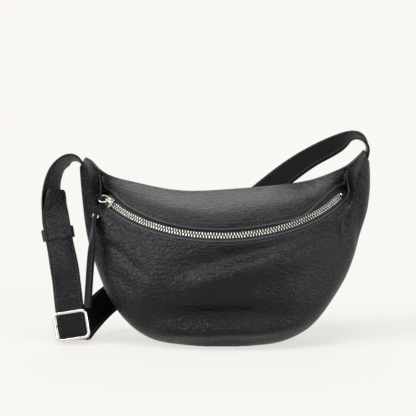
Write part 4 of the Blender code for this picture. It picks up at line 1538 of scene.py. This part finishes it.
    def build_linings(self) -> None:
        """Builds the linings and the slip pocket."""
        sink = LEATHER + 3 * FIT
        u = spread(-0.60, 0.60, 180)
        front = front_section(u, np.linspace(0, 1, 60))
        under = under_section(u, np.linspace(0, 1, 17))
        around = np.concatenate([front, under[:, 1:]], axis=1)[:, 4:-2]
        behind = back_section(spread(-0.58, 0.58, 80), np.linspace(0.14, 0.74, 24))
        above = upper_section(spread(-0.50, 0.50, 80), np.linspace(0.22, 0.80, 14))
        parts = {
            "front_lining": (around, sink + 4 * FIT),
            "back_lining": (behind, 0.0),
            "upper_lining": (above, 0.0),
        }
        cloth = self.palette.lining
        for node, (grid, floor) in parts.items():
            inward = grid_normals(grid)
            loose = 0.0
            if node == "front_lining":
                loose = self.lining_loose - self.front_relief(grid)[..., None]
            grid = grid + inward * (sink + loose)
            made = self.sheet(node + "_cloth", grid, LINING, cloth, node, inward, floor)
        grid = back_section(np.linspace(-0.30, 0.30, 40), np.linspace(0.22, 0.62, 24))
        inward = grid_normals(grid)
        grid = grid + inward * (sink + LINING + FIT)
        made = self.sheet("slip_pocket_cloth", grid, LINING, cloth, "slip_pocket", inward)

    def trim(self, name: str, path: Array) -> None:
        """Adds a round piping along a line.

        Args:
            name: the piece's name.
            path: the line.
        """
        made = add_mesh(name, *tube_shape(path, self.piping, 10), self.palette.edge)
        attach(made, "bag")

    def seam(self, name: str, path: Array, off: Array) -> None:
        """Adds a row of stitches along a line on the body.

        Args:
            name: the piece's name.
            path: the line.
            off: the way off the leather.
        """
        made = stitch_row(name, path, off, self.palette.thread)
        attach(made, "bag")

    def build_seams(self) -> None:
        """Builds the piped edges and the stitches beside them."""
        u = spread(-SLIT_LEFT_SHARE + 0.01, SLIT_RIGHT_SHARE - 0.01, 300)
        middle, down, off = window_line(u)
        lift = edge_lift(u)[:, None]
        apart = window_half(u)[:, None]
        low = middle + down * (apart + 0.0004) + off * (lift - 0.0006)
        self.trim("front_piping", low)
        inner = np.abs(u) < WINDOW_SHARE + 0.04
        line = middle + down * (apart + self.seam_apart) + off * (lift + 0.0001)
        self.seam("front_stitches", line[inner], off[inner])
        wings = (("left", -1.0, -SLIT_LEFT_SHARE), ("right", SLIT_RIGHT_SHARE, 1.0))
        for name, first, last in wings:
            side = np.linspace(first, last, 60)
            seam = top_seam(side) - BACKWARD * 0.0010 + seam_inward(side) * 0.0004
            self.trim(name + "_wing_piping", seam)


@dataclass
class ZipChain:
    """The tapes and the rows of metal teeth.

    A tooth has a body and a root, each with its middle across the tape and its sizes along, across
    and upward. The tape has fine ribs along the zip and a bead at its inner edge.
    """

    palette: Palette
    pitch: float = 0.00254
    margin: float = 0.0070
    tape_edge: float = 0.0017
    tape_under: float = 0.0015
    rows: int = 400
    rib_high: float = 0.00006
    rib_turn: float = 2.2
    bead: float = 0.0006
    tooth_bodies: tuple[tuple[float, Triple], ...] = (
        (0.00125, (0.00082, 0.0029, 0.0016)),
        (0.0022, (0.00105, 0.0009, 0.0019)),
    )

    def build(self) -> None:
        """Builds both sides."""
        for side, name, shift in ((Side.LOWER, "lower", -0.25), (Side.UPPER, "upper", 0.25)):
            self.build_side(side.value, name, shift)

    def tooth_angles(self, shift: float) -> Array:
        """Angles of one side's teeth on the zip's arc, an even row about its middle.

        Args:
            shift: share of the pitch by which the row is moved.

        Returns:
            The angles.
        """
        half = ZIP_HALF_ANGLE - self.margin / ZIP_RADIUS
        step = self.pitch / ZIP_RADIUS
        count = int(2 * half / step)
        return (np.arange(count) - (count - 1) / 2 + shift) * step

    def build_side(self, side: float, name: str, shift: float) -> None:
        """Builds one tape with its bead and teeth.

        Args:
            side: plus one for the lower side, minus one for the upper side.
            name: the side's name.
            shift: share of the pitch by which its teeth are moved.
        """
        u = np.linspace(-WINDOW_SHARE, WINDOW_SHARE, self.rows)
        middle, down, off = window_line(u)
        wider = np.clip(rim_shift(u), 0, None) * (side < 0)
        share = np.linspace(0, 1, 8)[None, :, None]
        hidden = WINDOW_HALF + self.tape_under + wider[:, None, None]
        reach = self.tape_edge + (hidden - self.tape_edge) * share
        ribs = self.rib_high * np.sin(np.arange(self.rows) * self.rib_turn)[:, None, None]
        face = middle[:, None] + side * down[:, None] * reach
        shape = sheet_shape(face + off[:, None] * (TAPE / 2 + ribs), face - off[:, None] * TAPE / 2)
        tape = add_mesh(f"zip_{name}_tape", shape[0], facing_out(*shape), self.palette.tape)
        bead = middle + side * down * self.tape_edge
        cord = add_mesh(f"zip_{name}_bead", *tube_shape(bead, self.bead, 8), self.palette.tape)
        point, along, tape_down, tape_off = zip_axes(self.tooth_angles(shift))
        parts = []
        for offset, size in self.tooth_bodies:
            parts.append(capsule_row(point + side * tape_down * offset, along, tape_off, size))
        teeth = add_mesh(f"zip_{name}_teeth", *merged(parts), self.palette.metal)
        for piece in (tape, cord, teeth):
            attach(piece, "bag")
        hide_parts(f"zip_{name}_chain")


def along_route(route: Array, count: int) -> tuple[Array, Array]:
    """Even points and width ways along a route of places and ways.

    Args:
        route: rows of a place in shares and a way.
        count: number of points.

    Returns:
        Points and unit ways.
    """
    route = np.asarray(route, float)
    places = route[:, :3] * BODY_SIZE
    run = run_along(places)
    at = np.linspace(0, run[-1], count)
    return spline(run, places, at), unit(spline(run, unit(route[:, 3:]), at))


def layer_frame(drop: float) -> tuple[Array, Array, Array, Array]:
    """Place and ways of the strap's front layer at a share of its length.

    Args:
        drop: share from the tip down.

    Returns:
        Place, left way, down way and back way.
    """
    path, across = along_route(TIP_ROUTE_SHARES, LAYER_STEPS + 1)
    k = int(round(drop * LAYER_STEPS))
    down = unit(path[min(k + 1, LAYER_STEPS)] - path[max(k - 1, 0)])
    left = unit(across[k] - down * np.dot(across[k], down))
    back = np.cross(down, left)
    return path[k], left, down, back if back[1] > 0 else -back


@dataclass
class Strap:
    """Both straps with their stitches, and the keeper.

    A strap is narrowed at its sewn root and at its tip. The drops are shares of the front layer's
    length, from the tip down: where the short strap meets it and where the keeper sits.
    """

    palette: Palette
    root_share: float = 0.38
    root_long: float = 0.024
    tip_share: float = 0.80
    tip_long: float = 0.006
    seam_margin: float = 0.0022
    seam_free_tip: int = 4
    seam_free_root: int = 40
    short_steps: int = 144
    fold_back: float = 0.0220
    meet_drop: float = 0.22
    keeper_drop: float = 0.30
    keeper_high: float = 0.0105
    keeper_thick: float = 0.0014
    keeper_slack: float = 0.0009
    keeper_rows: int = 96
    keeper_sides: int = 48
    groove_deep: float = 0.55
    groove_wide: float = 0.16

    def build(self) -> None:
        """Builds the straps and the keeper."""
        self.build_long()
        self.build_short()
        self.build_keeper()

    def root_width(self, run: Array) -> Array:
        """Width of a strap, narrowed where it is sewn into the bag.

        Args:
            run: distance from the sewn end.

        Returns:
            Widths.
        """
        opened = smooth_step(run / self.root_long)
        return STRAP_WIDE * (self.root_share + (1 - self.root_share) * opened)

    def build_long(self) -> None:
        """Builds the long strap with its tip and stitches."""
        tip, tip_across = along_route(TIP_ROUTE_SHARES, 160)
        rest, rest_across = along_route(LONG_ROUTE_SHARES, 420)
        path = np.concatenate([tip, rest[1:]])
        across = np.concatenate([tip_across, rest_across[1:]])
        run = run_along(path)
        wide = self.root_width(run[-1] - run)
        opened = np.sqrt(np.clip(run / self.tip_long, 0, 1))
        wide = wide * (self.tip_share + (1 - self.tip_share) * opened)
        shape = ribbon_shape(path, across, wide, STRAP_THICK)
        made = add_mesh("long_strap", *shape, self.palette.strap)
        # The inner faces take the darker matte finish: painted shade for the stretch seen behind
        # the bag
        made.data.materials.append(self.palette.strap_inner_painted_shade)
        self.mark_inner(made, path, across)
        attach(made, "bag")
        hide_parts("strap_right")
        tangent = unit(np.gradient(path, axis=0))
        side = square_to(across, tangent)
        normal = np.cross(side, tangent)
        sewn = slice(self.seam_free_tip, -self.seam_free_root)
        for face, face_name in ((-1.0, "inner"), (1.0, "outer")):
            rise = normal * face * STRAP_THICK * 0.50
            for edge, edge_name in ((-1.0, "right"), (1.0, "left")):
                line = path + side * edge * (wide[:, None] / 2 - self.seam_margin) + rise
                name = f"long_strap_stitches_{face_name}_{edge_name}"
                row = stitch_row(name, line[sewn], (normal * face)[sewn], self.palette.thread)
                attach(row, "bag")

    def mark_inner(self, made: bpy.types.Object, path: Array, across: Array) -> None:
        """Gives the strap's inner face its matte finish, darkened as painted shade.

        Args:
            made: the strap.
            path: the line that it was swept along.
            across: the way its width lies at each point.
        """
        tangent = unit(np.gradient(path, axis=0))
        normal = np.cross(across, tangent)
        count = len(made.data.polygons)
        facing = np.empty(count * 3)
        made.data.polygons.foreach_get("normal", facing)
        row = np.clip(np.arange(count) // RIBBON_SIDES - 1, 0, len(path) - 1)
        side = np.sum(facing.reshape(-1, 3) * normal[row], axis=1)
        outward = np.sign(normal[0] @ -BACKWARD)
        made.data.polygons.foreach_set("material_index", (side * outward < -0.3).astype(np.int32))

    def build_short(self) -> None:
        """Builds the short strap, folded round the buckle's bar."""
        arch, arch_across = along_route(SHORT_ROUTE_SHARES, 120)
        path, across = along_route(TIP_ROUTE_SHARES, self.short_steps + 1)
        tangent = unit(np.gradient(path, axis=0))
        side = square_to(across, tangent)
        back = np.cross(tangent, side)
        back = back * np.sign(back[:, 1])[:, None]
        layer = STRAP_THICK + FIT
        low = int(round(BAR_DROP_SHARE * self.short_steps))
        high = int(round(self.meet_drop * self.short_steps))
        run = path[high:low] + back[high:low] * layer
        place, left, down, rear = layer_frame(BAR_DROP_SHARE)
        bar = place + rear * 2 * layer
        turns = np.linspace(0, math.pi, 25)[1:, None]
        loop = bar - rear * layer * np.cos(turns) + down * layer * np.sin(turns)
        back_up = np.linspace(0, 1, 30)[1:, None]
        ease = smooth_step(back_up * 2.2)
        climb = bar + rear * layer * (1.0 - 0.97 * ease) - down * self.fold_back * back_up
        climb = climb + (back[low - 1] - rear) * 2 * layer * back_up
        full = np.concatenate([arch[:-1], run, loop, climb])
        folded = np.tile(left, (len(loop) + len(climb), 1))
        ways = np.concatenate([arch_across[:-1], side[high:low], folded])
        shape = ribbon_shape(full, ways, self.root_width(run_along(full)), STRAP_THICK)
        made = add_mesh("short_strap", *shape, self.palette.strap)
        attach(made, "bag")
        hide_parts("strap_left")

    def build_keeper(self) -> None:
        """Builds the keeper as a rounded band round both layers."""
        place, left, down, back = layer_frame(self.keeper_drop)
        centre = place + back * (STRAP_THICK + FIT) / 2
        half_wide = STRAP_WIDE / 2 + self.keeper_slack + self.keeper_thick / 2
        half_deep = STRAP_THICK + FIT / 2 + self.keeper_slack + self.keeper_thick / 2
        turn = np.linspace(0, 2 * math.pi, self.keeper_rows + 1)[:-1]
        x, y = squared_round(turn, 0.25, 0.35)
        ring = centre + left * (x * half_wide)[:, None] + back * (y * half_deep)[:, None]
        aside = left * (np.cos(turn) * half_deep)[:, None]
        out = unit(aside + back * (np.sin(turn) * half_wide)[:, None])
        sides = self.keeper_sides
        turn = np.arange(sides) * 2 * math.pi / sides + math.pi / sides
        px, py = squared_round(turn, 0.5, 0.5)
        groove = 1 - self.groove_deep * np.exp(-((px / self.groove_wide) ** 2)) * (py > 0)
        px, py = px * self.keeper_high / 2, py * groove * self.keeper_thick / 2
        points = ring[:, None] + down * px[None, :, None] + out[:, None] * py[None, :, None]
        vertices = points.reshape(-1, 3)
        faces = ring_quads(self.keeper_rows, sides, close_rows=True)
        made = add_mesh("keeper", vertices, facing_out(vertices, faces), self.palette.strap)
        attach(made, "keeper")
        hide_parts("strap_keeper")


@dataclass
class Pull:
    """The long leather pull, folded double round the ring.

    It starts at its top on the ring, whose wire runs the ring's way there. Its route is in shares
    of its length.
    """

    palette: Palette
    top: Triple = (-0.11359, 0.01981, 0.12471)
    ring_way: Triple = (-0.02025, -0.82362, -0.56677)
    long: float = 0.1000
    wide: float = 0.0078
    neck: float = 0.0028
    thick: float = 0.0014
    pinch: float = 0.0110
    twist_from: float = 0.018
    twist_long: float = 0.040
    twist: float = math.radians(40.0)
    loop_high: float = 1.2
    loop: float = 0.0032
    turns: int = 17
    tip_share: float = 0.55
    tip_long: float = 0.004
    route: tuple[Triple, ...] = (
        (0.0, 0.0, 0.0),
        (-0.014, -0.037, -0.080),
        (-0.027, -0.117, -0.165),
        (-0.040, -0.220, -0.330),
        (-0.060, -0.292, -0.600),
        (-0.077, -0.345, -0.865),
        (-0.081, -0.355, -0.915),
    )

    def build(self) -> None:
        """Builds both layers as one folded strip."""
        ring_way = np.array(self.ring_way)
        route = np.array(self.top) + np.array(self.route) * self.long
        run = run_along(route)
        at = np.linspace(0, run[-1], 120)
        line = spline(run, route, at)
        tangent = unit(np.gradient(line, axis=0))
        across = unit(ring_way - tangent * (tangent @ ring_way)[:, None])
        face = np.cross(across, tangent)
        turn = (self.twist * smooth_step((at - self.twist_from) / self.twist_long))[:, None]
        across, face = (across * np.cos(turn) + face * np.sin(turn),
                        face * np.cos(turn) - across * np.sin(turn))
        layer = (self.thick + FIT) / 2
        apart = (self.loop + (layer - self.loop) * smooth_step(at / self.pinch))[:, None]
        front, rear = (line + face * apart)[1:], (line - face * apart)[1:]
        turns = np.linspace(0, math.pi, self.turns)[:, None]
        over = tangent[0] * self.loop_high * np.sin(turns)
        arc = line[0] - self.loop * (face[0] * np.cos(turns) + over)
        path = np.concatenate([rear[::-1], arc, front])
        ways = np.concatenate([across[1:][::-1], np.tile(across[0], (self.turns, 1)), across[1:]])
        drop = np.concatenate([at[1:][::-1], np.zeros(self.turns), at[1:]])
        wide = self.neck + (self.wide - self.neck) * smooth_step(drop / self.pinch - 0.3)
        tip = np.sqrt(np.clip((at[-1] - drop) / self.tip_long, 0, 1))
        wide = wide * (self.tip_share + (1 - self.tip_share) * tip)
        shape = ribbon_shape(path, ways, wide, self.thick)
        made = add_mesh("pull_strip", *shape, self.palette.strap)
        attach(made, "pull")
        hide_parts("pull_leather")


@dataclass
class Hardware:
    """The metal of the slider, ring, rivet, stops and buckle, and the end tabs of the zip."""

    palette: Palette
    free: float = 0.0010
    wide: float = 0.0310
    high: float = 0.0262
    wire: float = 0.0024
    deep: float = 0.0032
    corner: float = 0.0040
    fuller: float = 0.0001
    bar_radius: float = 0.0013
    metal_nodes: tuple[str, ...] = (
        "slider_body",
        "slider_bail",
        "pull_ring",
        "pull_rivet",
        "zip_bottom_stop",
        "zip_top_stop_upper",
        "zip_top_stop_lower",
        "buckle_bar",
    )
    tab_nodes: tuple[str, ...] = ("zip_end_tab_left", "zip_end_tab_right")

    def build(self) -> None:
        """Builds the buckle's frame and gives the CAD nodes that are shown their finish."""
        self.build_frame()
        self.dress(self.metal_nodes, self.palette.metal)
        self.dress(self.tab_nodes, self.palette.tape)

    def dress(self, names: tuple[str, ...], finish: bpy.types.Material) -> None:
        """Gives CAD nodes a finish.

        Args:
            names: the nodes.
            finish: their material.
        """
        for name in names:
            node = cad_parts[name]
            node.data.materials.clear()
            node.data.materials.append(finish)

    def build_frame(self) -> None:
        """Builds the buckle's frame, a ring of round wire, with the lugs that hold its bar."""
        place, left, down, back = layer_frame(BAR_DROP_SHARE)
        ahead = STRAP_THICK / 2 + self.free + self.deep / 2
        centre = place - back * ahead
        half = np.array([self.wide - self.wire, self.high - self.wire]) / 2
        turns = np.linspace(0, math.pi / 2, 13)
        path = []
        for quarter, corner in enumerate(((1, 1), (-1, 1), (-1, -1), (1, -1))):
            angle = turns + quarter * math.pi / 2
            bend = np.stack([np.cos(angle), np.sin(angle)], axis=1) * self.corner
            path.append((half - self.corner) * np.array(corner) + bend)
        flat = np.concatenate(path)
        ring = centre + flat[:, :1] * left + flat[:, 1:] * down
        parts = [tube_shape(ring, self.wire / 2 + self.fuller, 16, closed=True)]
        lug_deep = ahead + 2 * (STRAP_THICK + FIT) + 2 * self.bar_radius
        for side in (-1.0, 1.0):
            root = centre + left * side * half[0]
            lug = np.linspace(root, root + back * lug_deep, 6)
            parts.append(tube_shape(lug, self.bar_radius, 16))
        made = add_mesh("buckle_ring", *merged(parts), self.palette.metal)
        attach(made, "buckle")
        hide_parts("buckle_frame")


def seen_directly(tree: bpy.types.NodeTree) -> bpy.types.NodeSocket:
    """Adds nodes that tell the rays that see the backdrop from those that light by it.

    Args:
        tree: the node tree they are added to.

    Returns:
        A socket that is one for camera, glossy and transmission rays.
    """
    path = add_node(tree, "LightPath", {})
    socket = path.outputs["Is Camera Ray"]
    for name in ("Is Glossy Ray", "Is Transmission Ray"):
        larger = add_node(tree, "Math", {0: socket, 1: path.outputs[name]}, operation="MAXIMUM")
        socket = larger.outputs["Value"]
    return socket


@dataclass
class Studio:
    """The floor, the light and the camera.

    Each sun has a name, the way its light goes, its breadth in degrees and its strength. The camera
    looks down at its target by its rise, and one pixel of the picture is pixel_wide there.
    """

    sky_strength: float = 0.34
    sky_colour: Colour = (1.0, 0.99, 0.975, 1.0)
    floor_colour: Colour = (0.660, 0.645, 0.622, 1.0)
    floor_half: float = 60.0
    floor_roughness: float = 0.9
    floor_sheen: float = 0.1
    backdrop_share: float = 0.72
    backdrop: Colour = (0.947, 0.930, 0.896, 1.0)
    suns: tuple[tuple[str, Triple, float, float], ...] = (
        ("key", (0.664, 0.262, -0.707), 24.0, 1.70),
        ("back", (0.0, -0.743, -0.669), 40.0, 0.60),
        ("top", (0.02, 0.14, -1.0), 26.0, 1.30),
        ("left", (0.90, 0.38, -0.18), 38.0, 1.10),
        ("right", (-0.82, 0.55, -0.20), 38.0, 1.70),
    )
    rise: float = math.radians(8.0)
    distance: float = 1.5
    target: Triple = (-0.01584, 0.0, 0.1194)
    pixel_wide: float = 0.00088
    picture_pixels: int = 416
    sensor: float = 36.0

    def build(self) -> None:
        """Sets up the studio."""
        self.build_floor()
        self.build_light()
        self.build_camera()

    def build_floor(self) -> None:
        """Builds the wide pale floor."""
        made, tree, shader = new_material("floor")
        feed(shader, {
            "Base Color": self.floor_colour,
            "Roughness": self.floor_roughness,
            "Specular IOR Level": self.floor_sheen,
        })
        glow = add_node(tree, "Emission", {"Color": self.backdrop})
        seen = {0: seen_directly(tree), 1: self.backdrop_share}
        share = add_node(tree, "Math", seen, operation="MULTIPLY")
        blend = add_node(tree, "MixShader", {
            "Fac": share.outputs["Value"],
            1: shader.outputs["BSDF"],
            2: glow.outputs["Emission"],
        })
        feed(tree.nodes["Material Output"], {"Surface": blend.outputs["Shader"]})
        size = self.floor_half
        corners = np.array([(-size, -size, 0), (size, -size, 0), (size, size, 0), (-size, size, 0)])
        floor = add_mesh("floor", corners, np.array([[0, 1, 2, 3]]), made)

    def build_light(self) -> None:
        """Builds the sky, white to the camera, and the soft suns."""
        world = bpy.data.worlds.new("studio")
        bpy.context.scene.world = world
        world.use_nodes = True
        tree = world.node_tree
        sky = feed(tree.nodes["Background"], {
            "Color": self.sky_colour,
            "Strength": self.sky_strength,
        })
        seen = add_node(tree, "Background", {"Color": self.backdrop, "Strength": 1.0})
        choice = add_node(tree, "MixShader", {
            "Fac": seen_directly(tree),
            1: sky.outputs["Background"],
            2: seen.outputs["Background"],
        })
        feed(tree.nodes["World Output"], {"Surface": choice.outputs["Shader"]})
        for lamp_name, way, angle, strength in self.suns:
            lamp = bpy.data.lights.new(lamp_name, "SUN")
            lamp.energy = strength
            lamp.angle = math.radians(angle)
            obj = bpy.data.objects.new(lamp_name, lamp)
            obj.rotation_euler = Vector(way).to_track_quat("-Z", "Y").to_euler()
            bpy.context.scene.collection.objects.link(obj)

    def build_camera(self) -> None:
        """Builds the camera at the photo's angle."""
        away = np.array([0.0, math.cos(self.rise), -math.sin(self.rise)])
        lens = bpy.data.cameras.new("camera")
        lens.sensor_width = self.sensor
        lens.lens = self.distance / self.pixel_wide / self.picture_pixels * self.sensor
        obj = bpy.data.objects.new("camera", lens)
        obj.location = np.array(self.target) - self.distance * away
        obj.rotation_euler = (math.pi / 2 - self.rise, 0.0, 0.0)
        bpy.context.scene.collection.objects.link(obj)
        scene = bpy.context.scene
        scene.camera = obj
        scene.view_settings.view_transform = "Standard"


def main() -> None:
    """Builds the pieces in order."""
    logging.basicConfig(level=logging.INFO, format="%(message)s")
    palette = Palette()
    dressed = [kind(palette) for kind in (BagBody, ZipChain, Strap, Pull, Hardware)]
    for part in (*dressed, Studio()):
        part.build()
        LOG.info("built %s", type(part).__name__)


if __name__ == "__main__":
    main()
